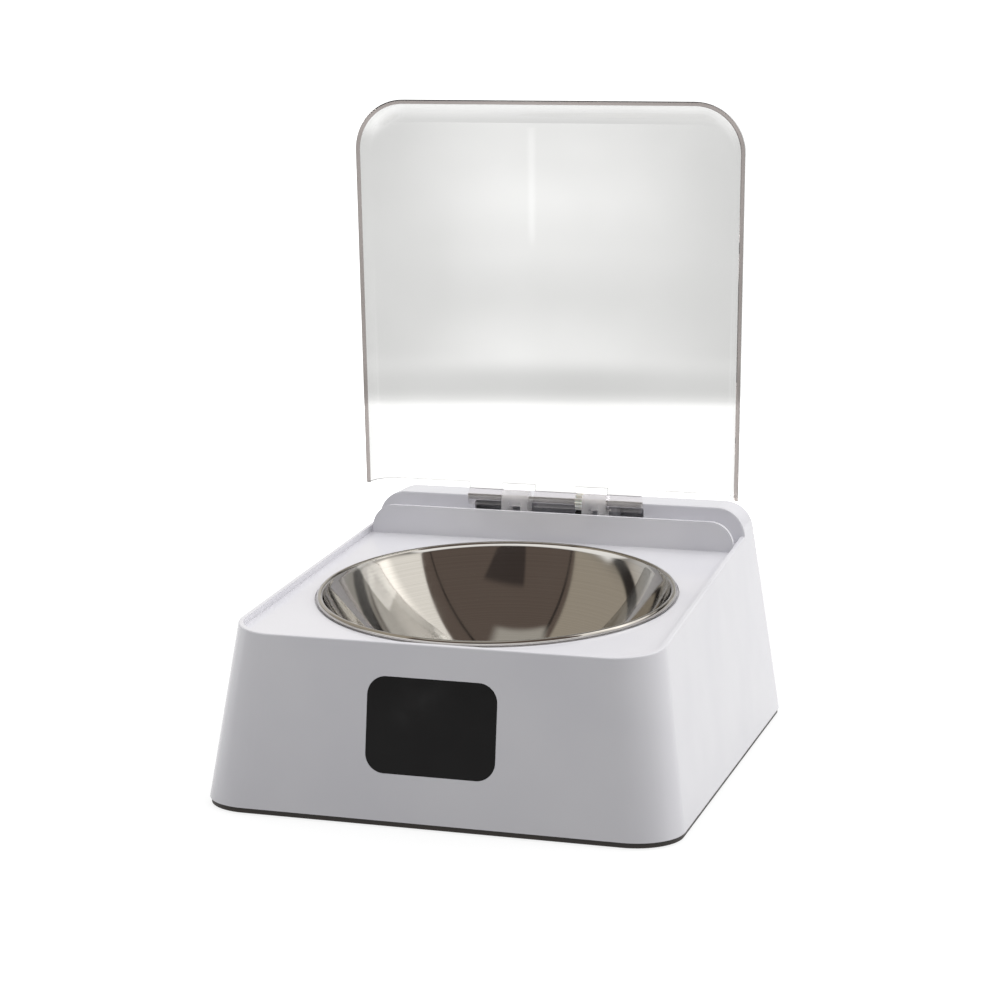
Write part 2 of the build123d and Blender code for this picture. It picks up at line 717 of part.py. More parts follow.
with BuildPart() as battery_door:
    with BuildSketch(Plane.XY.offset(foot_height)):
        with Locations((0, battery_y)):
            Rectangle(bay_length + 2 * bay_ledge - 2 * trim_gap, bay_width + 2 * bay_ledge - 2 * trim_gap)
    extrude(amount=door_flange)
    with BuildSketch(Plane.XY.offset(foot_height)):
        with Locations((0, door_tab_y)):
            Rectangle(door_tab[0] - 2 * trim_gap, door_tab[1] - 2 * trim_gap)
    extrude(amount=door_tab[2])
    with BuildSketch(Plane.XY.offset(foot_height + door_flange)):
        with Locations((0, battery_y)):
            Rectangle(bay_length - 2 * fit_gap, bay_width - 2 * fit_gap)
    extrude(amount=base_band - foot_height - door_flange)
    with BuildSketch(Plane.XY.offset(foot_height)):
        with Locations((0, door_screw_y)):
            Circle(small_pilot + trim_gap)
    extrude(amount=door_tab[2], mode=Mode.SUBTRACT)
    with BuildSketch(Plane.XY.offset(foot_height)):
        with Locations((0, door_screw_y)):
            Circle(small_head_radius + trim_gap)
    extrude(amount=small_head_height + trim_gap, mode=Mode.SUBTRACT)
battery_door.part.label = "battery_door"
export_step(battery_door.part, "parts/battery_door.step")


def screw(head_radius, head_height, shank_radius, length):
    """A pan-head screw with a cross recess: head below z = 0, shank up along +Z."""
    with BuildPart() as body:
        with BuildSketch():
            Circle(shank_radius)
        extrude(amount=length)
        with BuildSketch():
            Circle(head_radius)
        extrude(amount=-head_height)
        with BuildSketch(Plane.XY.offset(-head_height)):
            Rectangle(cross_reach * head_radius, cross_width * head_radius)
            Rectangle(cross_width * head_radius, cross_reach * head_radius)
        extrude(amount=cross_depth_share * head_height, mode=Mode.SUBTRACT)
    return body.part


housing_screw = screw(screw_head_radius, screw_head_height, screw_pilot,
                      post_low_z - foot_height - screw_head_height + screw_depth - screw_end_gap)
small_screw = screw(small_head_radius, small_head_height, small_pilot, small_screw_length - screw_end_gap)


def upright(x, y, z, facing=1):
    """A level plane at a point, facing up or down."""
    return Plane(origin=(x, y, z), x_dir=(1, 0, 0), z_dir=(0, 0, facing))


with BuildPart() as housing_screws:
    with Locations(*[upright(x, y, foot_height + screw_head_height) for x, y in screw_posts]):
        add(housing_screw)
housing_screws.part.label = "housing_screws"
export_step(housing_screws.part, "parts/housing_screws.step")

with BuildPart() as battery_door_screw:
    with Locations(upright(0, door_screw_y, foot_height + small_head_height + trim_gap)):
        add(small_screw)
battery_door_screw.part.label = "battery_door_screw"
export_step(battery_door_screw.part, "parts/battery_door_screw.step")

# ================= bowl =================
bead_height = bowl_bead + fit_gap - seat_depth
side_middle = (bowl_mouth_radius - bowl_side_radius * sin(bowl_mouth_slope),
               bead_height + bowl_side_radius * cos(bowl_mouth_slope))
corner_slope = acos((side_middle[1] + bowl_depth - bowl_corner) / (bowl_side_radius - bowl_corner))
corner_middle = (side_middle[0] + (bowl_side_radius - bowl_corner) * sin(corner_slope),
                 bowl_corner - bowl_depth)


def bowl_form(thickness):
    """The bowl's inside grown by a thickness, turned about its axis."""
    side, corner = bowl_side_radius + thickness, bowl_corner + thickness
    top_slope = acos((side_middle[1] - bead_height) / side)

    def sloped(middle, radius, slope):
        """The point of an arc round a middle where its line has a slope."""
        return middle[0] + radius * sin(slope), middle[1] - radius * cos(slope)

    with BuildPart() as form:
        with BuildSketch(Plane.XZ):
            with BuildLine():
                Polyline(sloped(side_middle, side, top_slope), (0, bead_height),
                         (0, -bowl_depth - thickness), sloped(corner_middle, corner, 0))
                ThreePointArc(sloped(corner_middle, corner, 0),
                              sloped(corner_middle, corner, corner_slope / 2),
                              sloped(corner_middle, corner, corner_slope))
                ThreePointArc(sloped(corner_middle, corner, corner_slope),
                              sloped(side_middle, side, (corner_slope + top_slope) / 2),
                              sloped(side_middle, side, top_slope))
            make_face()
        revolve(axis=Axis.Z)
    return form.part


with BuildPart() as bowl:
    with Locations(deck_plane):
        add(bowl_form(bowl_wall))
    with Locations(deck_plane.offset(bead_height)):
        Torus(bowl_bead_centre, bowl_bead)
    with Locations(deck_plane):
        add(bowl_form(0), mode=Mode.SUBTRACT)
bowl.part.label = "bowl"
export_step(bowl.part, "parts/bowl.step")

# ================= lid and hinge =================
hinge_y_z = (hinge_y, hinge_z)
open_lean = lid_swing - 90 - rim_slope      # degrees, the open lid from upright
lid_plane = Plane(origin=(0, hinge_y, hinge_z), x_dir=(-1, 0, 0),
                  z_dir=(0, cos(radians(open_lean)), -sin(radians(open_lean))))


def lid_form(inset, start):
    """The lid's outer form, or the same form inside its walls."""
    end = lid_length - inset
    with BuildPart() as form:
        with BuildSketch(lid_plane.offset(-lid_drop - (1 if inset else 0))):
            with BuildLine():
                Polyline((-lid_half(start) + inset, start), (lid_half(start) - inset, start),
                         (lid_half(end) - inset, end), (-lid_half(end) + inset, end), close=True)
            make_face()
        extrude(amount=lid_drop + lid_crown - inset + (1 if inset else 0))
        uprights = form.edges().filter_by(Axis((0, 0, 0), lid_plane.z_dir)).sort_by(Axis.Z)
        fillet(uprights[-2:], lid_corner_radius - inset)
        top = form.faces().sort_by(Axis((0, 0, 0), lid_plane.z_dir))[-1]
        fillet(top.edges().sort_by(Axis.Z)[1:], lid_shoulder - inset)
    return form.part


with BuildPart() as lid:
    add(lid_form(0, lid_rear))
    add(lid_form(lid_wall, lid_rear - 1), mode=Mode.SUBTRACT)
    for x_low, x_high in lid_knuckles:
        with BuildSketch(lid_plane.offset(lid_crown - lid_wall)):
            with Locations((-(x_low + x_high) / 2, (lid_rear + arm_overlap) / 2)):
                Rectangle(x_high - x_low, lid_rear + arm_overlap)
        extrude(amount=lid_wall)
        with BuildSketch(at_yz(x_low, hinge_y, hinge_z)):
            Circle(barrel_radius)
        extrude(amount=x_high - x_low)
    with BuildSketch(at_yz(lid_knuckles[0][0], hinge_y, hinge_z)):
        Circle(shaft_radius)
    extrude(amount=lid_knuckles[-1][1] - lid_knuckles[0][0], mode=Mode.SUBTRACT)
lid.part.label = "lid"
export_step(lid.part, "parts/lid.step")

with BuildPart() as hinge_shaft:
    with BuildSketch(at_yz(lid_knuckles[0][0] - shaft_overhang, hinge_y, hinge_z)):
        Circle(shaft_radius)
    extrude(amount=lid_knuckles[-1][1] - lid_knuckles[0][0] + 2 * shaft_overhang)
hinge_shaft.part.label = "hinge_shaft"
export_step(hinge_shaft.part, "parts/hinge_shaft.step")


def bracket(knuckle, foot_x, screw_x, webs):
    """A hinge bracket: foot on the trough's floor, upright webs and a barrel."""
    foot_mid = (foot_x[0] + foot_x[1]) / 2
    foot_y = hump_face - (bracket_foot_setback[0] + bracket_foot_setback[1]) / 2
    with BuildPart() as piece:
        with BuildSketch(floor_plane(foot_mid, foot_y)):
            Rectangle(foot_x[1] - foot_x[0], bracket_foot_setback[0] - bracket_foot_setback[1])
        extrude(amount=bracket_foot_thickness)
        web_front_y = hump_face - web_setback[0]
        web_rear_y = hump_face - web_setback[1]
        for x in webs:
            with BuildSketch(at_yz(x, 0, 0)):
                with BuildLine():
                    Polyline((web_front_y, deck_z(web_front_y)), (web_rear_y, deck_z(web_rear_y)),
                             (hinge_y + barrel_radius, hinge_z), (hinge_y - barrel_radius, hinge_z),
                             close=True)
                make_face()
            extrude(amount=web_thickness)
        with BuildSketch(at_yz(knuckle[0], hinge_y, hinge_z)):
            Circle(barrel_radius)
        extrude(amount=knuckle[1] - knuckle[0])
        with BuildSketch(at_yz(knuckle[0], hinge_y, hinge_z)):
            Circle(shaft_radius + running_gap)
        extrude(amount=knuckle[1] - knuckle[0], mode=Mode.SUBTRACT)
        with BuildSketch(floor_plane(screw_x, bracket_screw_y)):
            Circle(small_pilot)
        extrude(amount=bracket_foot_thickness, mode=Mode.SUBTRACT)
    return piece.part


hinge_bracket_left = bracket(fixed_knuckles[0], (-bracket_foot_end, fixed_knuckles[0][1]),
                             -bracket_screw_x,
                             (fixed_knuckles[0][0], fixed_knuckles[0][1] - web_thickness))
hinge_bracket_left.label = "hinge_bracket_left"
export_step(hinge_bracket_left, "parts/hinge_bracket_left.step")

with BuildPart() as hinge_bracket_right:
    add(bracket(fixed_knuckles[1], (bracket_foot_start, bracket_foot_end), bracket_screw_x,
                (fixed_knuckles[1][0], fixed_knuckles[1][1] - web_thickness)))
    # cheek round the idler's axle
    with BuildSketch(at_yz(fixed_knuckles[1][0], idler_y, idler_z)):
        Circle(cheek_radius)
    extrude(amount=web_thickness)
    with BuildSketch(at_yz(fixed_knuckles[1][0], idler_y, idler_z)):
        Circle(idler_axle_radius)
    extrude(amount=web_thickness, mode=Mode.SUBTRACT)
hinge_bracket_right.part.label = "hinge_bracket_right"
export_step(hinge_bracket_right.part, "parts/hinge_bracket_right.step")

with BuildPart() as bracket_screws:
    for x in (-bracket_screw_x, bracket_screw_x):
        seat = floor_plane(x, bracket_screw_y).offset(bracket_foot_thickness)
        with Locations(Plane(origin=seat.origin, x_dir=(1, 0, 0), z_dir=-seat.z_dir)):
            add(small_screw)
bracket_screws.part.label = "bracket_screws"
export_step(bracket_screws.part, "parts/bracket_screws.step")

# ================= gears =================
idler_axle_left = drive_plane_x - fit_gap - axle_head_length


def turned(sections, y, z):
    """Coaxial round sections along X about (y, z), added to the current part: x, x, radius."""
    for x_low, x_high, radius in sections:
        with BuildSketch(at_yz(x_low, y, z)) as section:
            Circle(radius)
        extrude(section.sketch, amount=x_high - x_low)


def bored(x_low, x_high, radius, y, z):
    """A round hole along X about (y, z), cut from the current part."""
    with BuildSketch(at_yz(x_low, y, z)) as hole:
        Circle(radius)
    extrude(hole.sketch, amount=x_high - x_low, mode=Mode.SUBTRACT)


def toothed(module, teeth, phase, x, face, y, z):
    """A spur gear added to the current part."""
    with BuildSketch(at_yz(x, y, z)) as teeth_face:
        with BuildLine():
            Polyline(*tooth_outline(module, teeth, phase), close=True)
        make_face()
    extrude(teeth_face.sketch, amount=face)


with BuildPart() as lid_pinion:
    toothed(lid_module, lid_pinion_teeth, lid_pinion_phase, drive_plane_x, drive_face, *hinge_y_z)
    bored(drive_plane_x, drive_plane_x + drive_face, shaft_radius, *hinge_y_z)
lid_pinion.part.label = "lid_pinion"
export_step(lid_pinion.part, "parts/lid_pinion.step")

with BuildPart() as idler_gear:
    toothed(lid_module, idler_teeth, idler_phase, drive_plane_x, drive_face, idler_y, idler_z)
    bored(drive_plane_x, drive_plane_x + drive_face, idler_axle_radius + running_gap, idler_y, idler_z)
    with BuildSketch(at_yz(drive_plane_x, idler_y, idler_z)):
        with PolarLocations(idler_hole_circle, 6):
            Circle(idler_hole_radius)
    extrude(amount=drive_face, mode=Mode.SUBTRACT)
idler_gear.part.label = "idler_gear"
export_step(idler_gear.part, "parts/idler_gear.step")

with BuildPart() as idler_axle:
    turned(((idler_axle_left, idler_axle_left + axle_head_length, axle_head_radius),
            (idler_axle_left + axle_head_length, fixed_knuckles[1][0] + web_thickness,
             idler_axle_radius)), idler_y, idler_z)
idler_axle.part.label = "idler_axle"
export_step(idler_axle.part, "parts/idler_axle.step")

with BuildPart() as drive_gear:
    toothed(lid_module, drive_teeth, drive_phase, drive_plane_x, drive_face, output_y, output_z)
    turned(((drive_plane_x + drive_face, drive_plane_x + drive_face + drive_hub_length,
             drive_hub_radius),), output_y, output_z)
    bored(drive_plane_x, drive_plane_x + drive_face + drive_hub_length, output_shaft_radius,
          output_y, output_z)
    with BuildSketch(at_yz(drive_plane_x, output_y, output_z)):
        with PolarLocations(drive_hole_circle, 6):
            Circle(drive_hole_radius)
    extrude(amount=drive_face, mode=Mode.SUBTRACT)
drive_gear.part.label = "drive_gear"
export_step(drive_gear.part, "parts/drive_gear.step")

with BuildPart() as output_shaft:
    turned(((drive_plane_x - shaft_overhang, layer_x(4) + layer_face, output_shaft_radius),
            (layer_x(4) + layer_face, cover_right_x - shaft_overhang, output_journal_radius)),
           output_y, output_z)
output_shaft.part.label = "output_shaft"
export_step(output_shaft.part, "parts/output_shaft.step")

with BuildPart() as output_gear:
    toothed(box_module, box_wheel_teeth, output_phase, layer_x(4), layer_face, output_y, output_z)
    bored(layer_x(4), layer_x(4) + layer_face, output_shaft_radius, output_y, output_z)
output_gear.part.label = "output_gear"
export_step(output_gear.part, "parts/output_gear.step")


def compound_gear(layer, phase, bore, y, z):
    """A wheel in one layer with a pinion in the next layer, in one piece."""
    with BuildPart() as piece:
        toothed(box_module, box_wheel_teeth, phase, layer_x(layer), layer_face, y, z)
        toothed(box_module, box_pinion_teeth, phase, layer_x(layer + 1), layer_pitch, y, z)
        bored(layer_x(layer + 1), layer_x(layer) + layer_face, bore, y, z)
    return piece.part


third_gear = compound_gear(3, third_pinion_phase, gear_axle_radius + running_gap, axle_y, axle_z)
third_gear.label = "third_gear"
export_step(third_gear, "parts/third_gear.step")

second_gear = compound_gear(2, second_pinion_phase, output_journal_radius + running_gap,
                            output_y, output_z)
second_gear.label = "second_gear"
export_step(second_gear, "parts/second_gear.step")

first_gear = compound_gear(1, first_pinion_phase, gear_axle_radius + running_gap, axle_y, axle_z)
first_gear.label = "first_gear"
export_step(first_gear, "parts/first_gear.step")

# ================= gearbox =================
box_width = box_rear_y - box_front_y
box_height = box_top_z - box_low_z
axle_left_x = box_left_x + fit_gap
axle_right_x = cover_right_x - fit_gap


def box_plate(x_low, x_high):
    """The box's outline between two x, added to the current part."""
    with BuildSketch(at_yz(x_low, box_mid_y, box_mid_z)) as section:
        Rectangle(box_width, box_height)
    extrude(section.sketch, amount=x_high - x_low)


with BuildPart() as gearbox_body:
    box_plate(box_left_x, box_right_x)
    with BuildSketch(at_yz(box_left_x + box_wall, box_mid_y, box_mid_z)):
        Rectangle(box_width - 2 * box_wall, box_height - 2 * box_wall)
    extrude(amount=box_right_x - box_left_x - box_wall, mode=Mode.SUBTRACT)
    for y, z in box_corners:
        turned(((box_left_x, box_right_x, box_boss_radius),), y, z)
        bored(box_right_x - small_screw_length + cover_thickness, box_right_x, small_pilot, y, z)
    bored(box_left_x, box_left_x + box_wall, output_shaft_radius + running_gap + bushing_wall,
          output_y, output_z)
    bored(axle_left_x, box_left_x + box_wall, gear_axle_radius, axle_y, axle_z)
    # ears, screwed up into the housing's hanging posts
    for x, y in ear_screws:
        with BuildSketch(Plane.XY.offset(ear_top_z - ear_thickness)):
            with Locations((box_mid_x, y)):
                Rectangle(box_right_x - box_left_x - cover_thickness, ear_length)
                Circle(small_pilot, mode=Mode.SUBTRACT)
        extrude(amount=ear_thickness)
gearbox_body.part.label = "gearbox_body"
export_step(gearbox_body.part, "parts/gearbox_body.step")

motor_bearing_up = radians(motor_bearing + 180)
motor_screws_at = [(motor_y + side * motor_screw_circle * cos(motor_bearing_up + pi / 2),
                    motor_z + side * motor_screw_circle * sin(motor_bearing_up + pi / 2))
                   for side in (-1, 1)]

with BuildPart() as gearbox_cover:
    box_plate(box_right_x, cover_right_x)
    for y, z in box_corners:
        bored(box_right_x, cover_right_x, small_pilot, y, z)
    bored(box_right_x, cover_right_x, output_journal_radius + running_gap + bushing_wall,
          output_y, output_z)
    bored(box_right_x, axle_right_x, gear_axle_radius, axle_y, axle_z)
    bored(box_right_x, cover_right_x, motor_hole_radius, motor_y, motor_z)
    for y, z in motor_screws_at:
        bored(box_right_x, cover_right_x, small_pilot, y, z)
gearbox_cover.part.label = "gearbox_cover"
export_step(gearbox_cover.part, "parts/gearbox_cover.step")

with BuildPart() as gear_axle:
    turned(((axle_left_x, axle_right_x, gear_axle_radius),), axle_y, axle_z)
gear_axle.part.label = "gear_axle"
export_step(gear_axle.part, "parts/gear_axle.step")

with BuildPart() as shaft_bushings:
    turned(((box_left_x, box_left_x + box_wall, output_shaft_radius + running_gap + bushing_wall),
            (box_right_x, cover_right_x, output_journal_radius + running_gap + bushing_wall)),
           output_y, output_z)
    bored(box_left_x, box_left_x + box_wall, output_shaft_radius + running_gap, output_y, output_z)
    bored(box_right_x, cover_right_x, output_journal_radius + running_gap, output_y, output_z)
shaft_bushings.part.label = "shaft_bushings"
export_step(shaft_bushings.part, "parts/shaft_bushings.step")


def screw_set(name, planes):
    """Small screws, one on each plane, written as one node."""
    with BuildPart() as screws:
        with Locations(*planes):
            add(small_screw)
    screws.part.label = name
    export_step(screws.part, "parts/" + name + ".step")


screw_set("gearbox_screws", [at_yz(cover_right_x, y, z, -1) for y, z in box_corners])
screw_set("gearbox_mount_screws", [upright(x, y, ear_top_z - ear_thickness) for x, y in ear_screws])
screw_set("motor_screws", [at_yz(box_right_x, y, z) for y, z in motor_screws_at])

# ================= motor =================
motor_split_x = cover_right_x + motor_length - motor_cap_length
motor_end_x = cover_right_x + motor_length


def motor_section(x_low, x_high, inset):
    """Round motor section with two flats, added to the current part."""
    with BuildSketch(at_yz(x_low, motor_y, motor_z)) as section:
        Circle(motor_radius - inset)
        Rectangle(2 * (motor_flat - inset), 2 * motor_radius, rotation=motor_bearing,
                  mode=Mode.INTERSECT)
    extrude(section.sketch, amount=x_high - x_low)


with BuildPart() as motor_can:
    motor_section(cover_right_x, motor_split_x, 0)
    bored(cover_right_x, motor_split_x, motor_shaft_radius + running_gap, motor_y, motor_z)
    for y, z in motor_screws_at:
        bored(cover_right_x, cover_right_x + small_screw_length, small_pilot, y, z)
motor_can.part.label = "motor_can"
export_step(motor_can.part, "parts/motor_can.step")

with BuildPart() as motor_end_cap:
    motor_section(motor_split_x, motor_end_x, fit_gap)
    bored(motor_split_x, motor_end_x - motor_cap_length / 2, motor_shaft_radius + running_gap,
          motor_y, motor_z)
    # terminals
    with BuildSketch(at_yz(motor_end_x, motor_y, motor_z)):
        with Locations((-motor_tab_spacing / 2, 0), (motor_tab_spacing / 2, 0)):
            Rectangle(motor_tab[0], motor_tab[1])
    extrude(amount=motor_tab[2])
motor_end_cap.part.label = "motor_end_cap"
export_step(motor_end_cap.part, "parts/motor_end_cap.step")

with BuildPart() as motor_shaft:
    turned(((first_layer_x - fit_gap, motor_split_x + fit_gap, motor_shaft_radius),),
           motor_y, motor_z)
motor_shaft.part.label = "motor_shaft"
export_step(motor_shaft.part, "parts/motor_shaft.step")

with BuildPart() as motor_pinion:
    toothed(box_module, box_pinion_teeth, motor_pinion_phase, first_layer_x, layer_face,
            motor_y, motor_z)
    bored(first_layer_x, first_layer_x + layer_face, motor_shaft_radius, motor_y, motor_z)
motor_pinion.part.label = "motor_pinion"
export_step(motor_pinion.part, "parts/motor_pinion.step")


# ================= sensor =================
sensor_face = window_plane.offset(-wall - sensor_board_gap)
sensor_rear = sensor_face.offset(-sensor_board_size[2])

with BuildPart() as sensor_window:
    with BuildSketch(window_plane):
        RectangleRounded(window_width, window_height, window_corner - trim_gap)
    extrude(amount=-window_thickness)
sensor_window.part.label = "sensor_window"
export_step(sensor_window.part, "parts/sensor_window.step")

with BuildPart() as sensor_board:
    with BuildSketch(sensor_face):
        RectangleRounded(sensor_board_size[0], sensor_board_size[1], board_round)
        with Locations((-sensor_post_x, 0), (sensor_post_x, 0)):
            Circle(small_pilot, mode=Mode.SUBTRACT)
    extrude(amount=-sensor_board_size[2])
sensor_board.part.label = "sensor_board"
export_step(sensor_board.part, "parts/sensor_board.step")

screw_set("sensor_board_screws",
          [Plane(origin=sensor_rear.from_local_coords((x, 0, 0)), x_dir=(1, 0, 0),
                 z_dir=sensor_rear.z_dir) for x in (-sensor_post_x, sensor_post_x)])


def diode(x):
    """A domed sensor diode standing on the board's front."""
    base = Plane(origin=sensor_face.from_local_coords((x, 0, 0)), x_dir=(1, 0, 0),
                 z_dir=sensor_face.z_dir)
    with BuildPart() as piece:
        with BuildSketch(base):
            Circle(led_flange_radius)
        extrude(amount=led_flange_length)
        with BuildSketch(base):
            Circle(led_radius)
        extrude(amount=led_length - led_radius)
        with Locations(base.offset(led_length - led_radius)):
            Sphere(led_radius)
    return piece.part


sensor_emitter = diode(-led_spacing / 2)
sensor_emitter.label = "sensor_emitter"
export_step(sensor_emitter, "parts/sensor_emitter.step")

sensor_receiver = diode(led_spacing / 2)
sensor_receiver.label = "sensor_receiver"
export_step(sensor_receiver, "parts/sensor_receiver.step")

with BuildPart() as sensor_hood:
    with BuildSketch(sensor_face):
        hood_bore = led_flange_radius + fit_gap
        SlotCenterToCenter(led_spacing, 2 * (hood_bore + hood_wall))
        with Locations((-led_spacing / 2, 0), (led_spacing / 2, 0)):
            Circle(hood_bore, mode=Mode.SUBTRACT)
    extrude(amount=hood_length)
sensor_hood.part.label = "sensor_hood"
export_step(sensor_hood.part, "parts/sensor_hood.step")

with BuildPart() as sensor_socket:
    with BuildSketch(sensor_rear):
        with Locations((sensor_socket_x, 0)):
            Rectangle(socket_size[0], socket_size[1])
    extrude(amount=-socket_size[2])
sensor_socket.part.label = "sensor_socket"
export_step(sensor_socket.part, "parts/sensor_socket.step")

# ================= main board =================
board_front_y = main_board_y - main_board_size[1] / 2
board_rear_y = main_board_y + main_board_size[1] / 2
socket_inset = socket_size[1] / 2 + socket_edge
power_socket_x = -main_board_size[0] / 2 + socket_inset
lead_z = main_top_z + socket_size[2] / 2

with BuildPart() as main_board:
    with BuildSketch(Plane.XY.offset(main_board_z)):
        with Locations((0, main_board_y)):
            RectangleRounded(main_board_size[0], main_board_size[1], board_round)
        with Locations(main_posts):
            Circle(small_pilot, mode=Mode.SUBTRACT)
    extrude(amount=main_board_size[2])
main_board.part.label = "main_board"
export_step(main_board.part, "parts/main_board.step")

screw_set("main_board_screws", [upright(x, y, main_top_z, -1) for x, y in main_posts])

with BuildPart() as board_chips:
    with BuildSketch(Plane.XY.offset(main_top_z)):
        with Locations((-chip_gap, main_board_y + chip_rearward)):
            Rectangle(large_chip[0], large_chip[1])
    extrude(amount=large_chip[2])
    with BuildSketch(Plane.XY.offset(main_top_z)):
        with Locations((2 * chip_gap, main_board_y - chip_gap), (2 * chip_gap, main_board_y + chip_rearward)):
            Rectangle(small_chip[0], small_chip[1])
    extrude(amount=small_chip[2])
board_chips.part.label = "board_chips"
export_step(board_chips.part, "parts/board_chips.step")

with BuildPart() as board_capacitors:
    with BuildSketch(Plane.XY.offset(main_top_z)):
        with Locations((-2 * capacitor_spacing, board_rear_y - capacitor_inset),
                       (-capacitor_spacing, board_rear_y - capacitor_inset)):
            Circle(capacitor_radius)
    extrude(amount=capacitor_height)
    fillet(board_capacitors.faces().sort_by(Axis.Z)[-2:].edges(), capacitor_round)
board_capacitors.part.label = "board_capacitors"
export_step(board_capacitors.part, "parts/board_capacitors.step")

with BuildPart() as board_sockets:
    with BuildSketch(Plane.XY.offset(main_top_z)):
        with Locations((sensor_socket_x, board_front_y + socket_inset),
                       (motor_socket_x, board_rear_y - socket_inset),
                       (battery_socket_x, board_rear_y - socket_inset)):
            Rectangle(socket_size[0], socket_size[1])
        with Locations((power_socket_x, main_board_y)):
            Rectangle(socket_size[1], socket_size[0])
    extrude(amount=socket_size[2])
board_sockets.part.label = "board_sockets"
export_step(board_sockets.part, "parts/board_sockets.step")

# ================= power =================
with BuildPart() as dc_jack:
    with BuildSketch(rear_plane(jack_x).offset(-wall)):
        Rectangle(jack_size[0], jack_size[1])
    extrude(amount=-jack_size[2])
    with BuildSketch(rear_plane(jack_x)):
        Circle(jack_nose_radius)
    extrude(amount=-wall)
    with BuildSketch(rear_plane(jack_x)):
        Circle(jack_bore)
        Circle(jack_pin_radius, mode=Mode.SUBTRACT)
    extrude(amount=-jack_bore_depth, mode=Mode.SUBTRACT)
    with BuildSketch(rear_plane(jack_x)):
        Circle(jack_pin_radius)
    extrude(amount=-jack_pin_radius, mode=Mode.SUBTRACT)
dc_jack.part.label = "dc_jack"
export_step(dc_jack.part, "parts/dc_jack.step")

with BuildPart() as switch_body:
    with BuildSketch(rear_plane(switch_x).offset(-wall)):
        Rectangle(switch_size[0], switch_size[1])
    extrude(amount=-switch_size[2])
    with BuildSketch(rear_plane(switch_x).offset(-wall)):
        RectangleRounded(switch_slot[0], switch_slot[1], edge_round)
    extrude(amount=-switch_pocket, mode=Mode.SUBTRACT)
switch_body.part.label = "switch_body"
export_step(switch_body.part, "parts/switch_body.step")

with BuildPart() as switch_slider:
    with BuildSketch(rear_plane(switch_x).offset(knob_proud)):
        with Locations((switch_travel / 2, 0)):
            Rectangle(switch_knob[0], switch_knob[1])
    extrude(amount=trim_gap - knob_proud - wall - switch_pocket)
switch_slider.part.label = "switch_slider"
export_step(switch_slider.part, "parts/switch_slider.step")

cells_right_x = bay_length / 2 - contact_thickness
cells_left_x = cells_right_x - cell_count * cell_length

with BuildPart() as battery_cells:
    for cell in range(cell_count):
        left_x = cells_left_x + cell * cell_length
        turned(((left_x, left_x + cell_length - cell_nub, cell_radius),
                (left_x + cell_length - cell_nub, left_x + cell_length, cell_nub_radius)),
               battery_y, battery_z)
battery_cells.part.label = "battery_cells"
export_step(battery_cells.part, "parts/battery_cells.step")

with BuildPart() as battery_contacts:
    for x in (-bay_length / 2, bay_length / 2 - contact_thickness):
        with BuildSketch(at_yz(x, battery_y, battery_z)):
            Rectangle(contact_width, contact_width)
            with Locations((0, (bay_roof_z + contact_tab[1] - battery_z) / 2)):
                Rectangle(contact_tab[0], bay_roof_z + contact_tab[1] - battery_z)
        extrude(amount=contact_thickness)
battery_contacts.part.label = "battery_contacts"
export_step(battery_contacts.part, "parts/battery_contacts.step")

spring_left_x = contact_thickness - bay_length / 2 + spring_wire
spring_span = cells_left_x - spring_wire - spring_left_x
with BuildPart() as battery_spring:
    with BuildLine() as coil:
        Helix(spring_span / spring_turns, spring_span, spring_radius,
              center=(spring_left_x, battery_y, battery_z), direction=(1, 0, 0))
    with BuildSketch(Plane(origin=coil.line @ 0, z_dir=coil.line % 0)):
        Circle(spring_wire)
    sweep()
battery_spring.part.label = "battery_spring"
export_step(battery_spring.part, "parts/battery_spring.step")


# ================= wiring =================
def lead(points):
    """A round lead through the points, bent with tangent arcs."""
    corners = [Vector(*point) for point in points]
    with BuildPart() as piece:
        with BuildLine() as path:
            start = corners[0]
            for index in range(1, len(corners) - 1):
                corner = corners[index]
                back = (corners[index - 1] - corner).normalized()
                ahead = (corners[index + 1] - corner).normalized()
                half_turn = (pi - radians(back.get_angle(ahead))) / 2
                inward = (back + ahead).normalized()
                arc_start = corner + back * (lead_bend * tan(half_turn))
                arc_end = corner + ahead * (lead_bend * tan(half_turn))
                arc_mid = corner + inward * (lead_bend / cos(half_turn) - lead_bend)
                Line(start, arc_start)
                ThreePointArc(arc_start, arc_mid, arc_end)
                start = arc_end
            Line(start, corners[-1])
        with BuildSketch(Plane(origin=path.line @ 0, z_dir=path.line % 0)) as section:
            Circle(lead_radius)
        sweep(section.sketch, path=path.line)
    return piece.part


def inside_rear(x, depth):
    """The point under the rear wall's outer face at x, at a depth."""
    return tuple(rear_plane(x).offset(-depth).origin)


socket_mid = sensor_rear.offset(-socket_size[2]).from_local_coords((sensor_socket_x, 0, 0))
drop_point = sensor_rear.offset(-socket_size[2] - sensor_run).from_local_coords((sensor_socket_x, 0, 0))
sensor_lead = lead((tuple(socket_mid), tuple(drop_point), (sensor_socket_x, drop_point.Y, lead_z),
                    (sensor_socket_x, board_front_y + socket_inset - socket_size[1] / 2, lead_z)))
sensor_lead.label = "sensor_lead"
export_step(sensor_lead, "parts/sensor_lead.step")

socket_rear_y = board_rear_y - socket_inset + socket_size[1] / 2
motor_lead_x = motor_end_x + motor_run
battery_lead_x = cells_right_x - battery_run
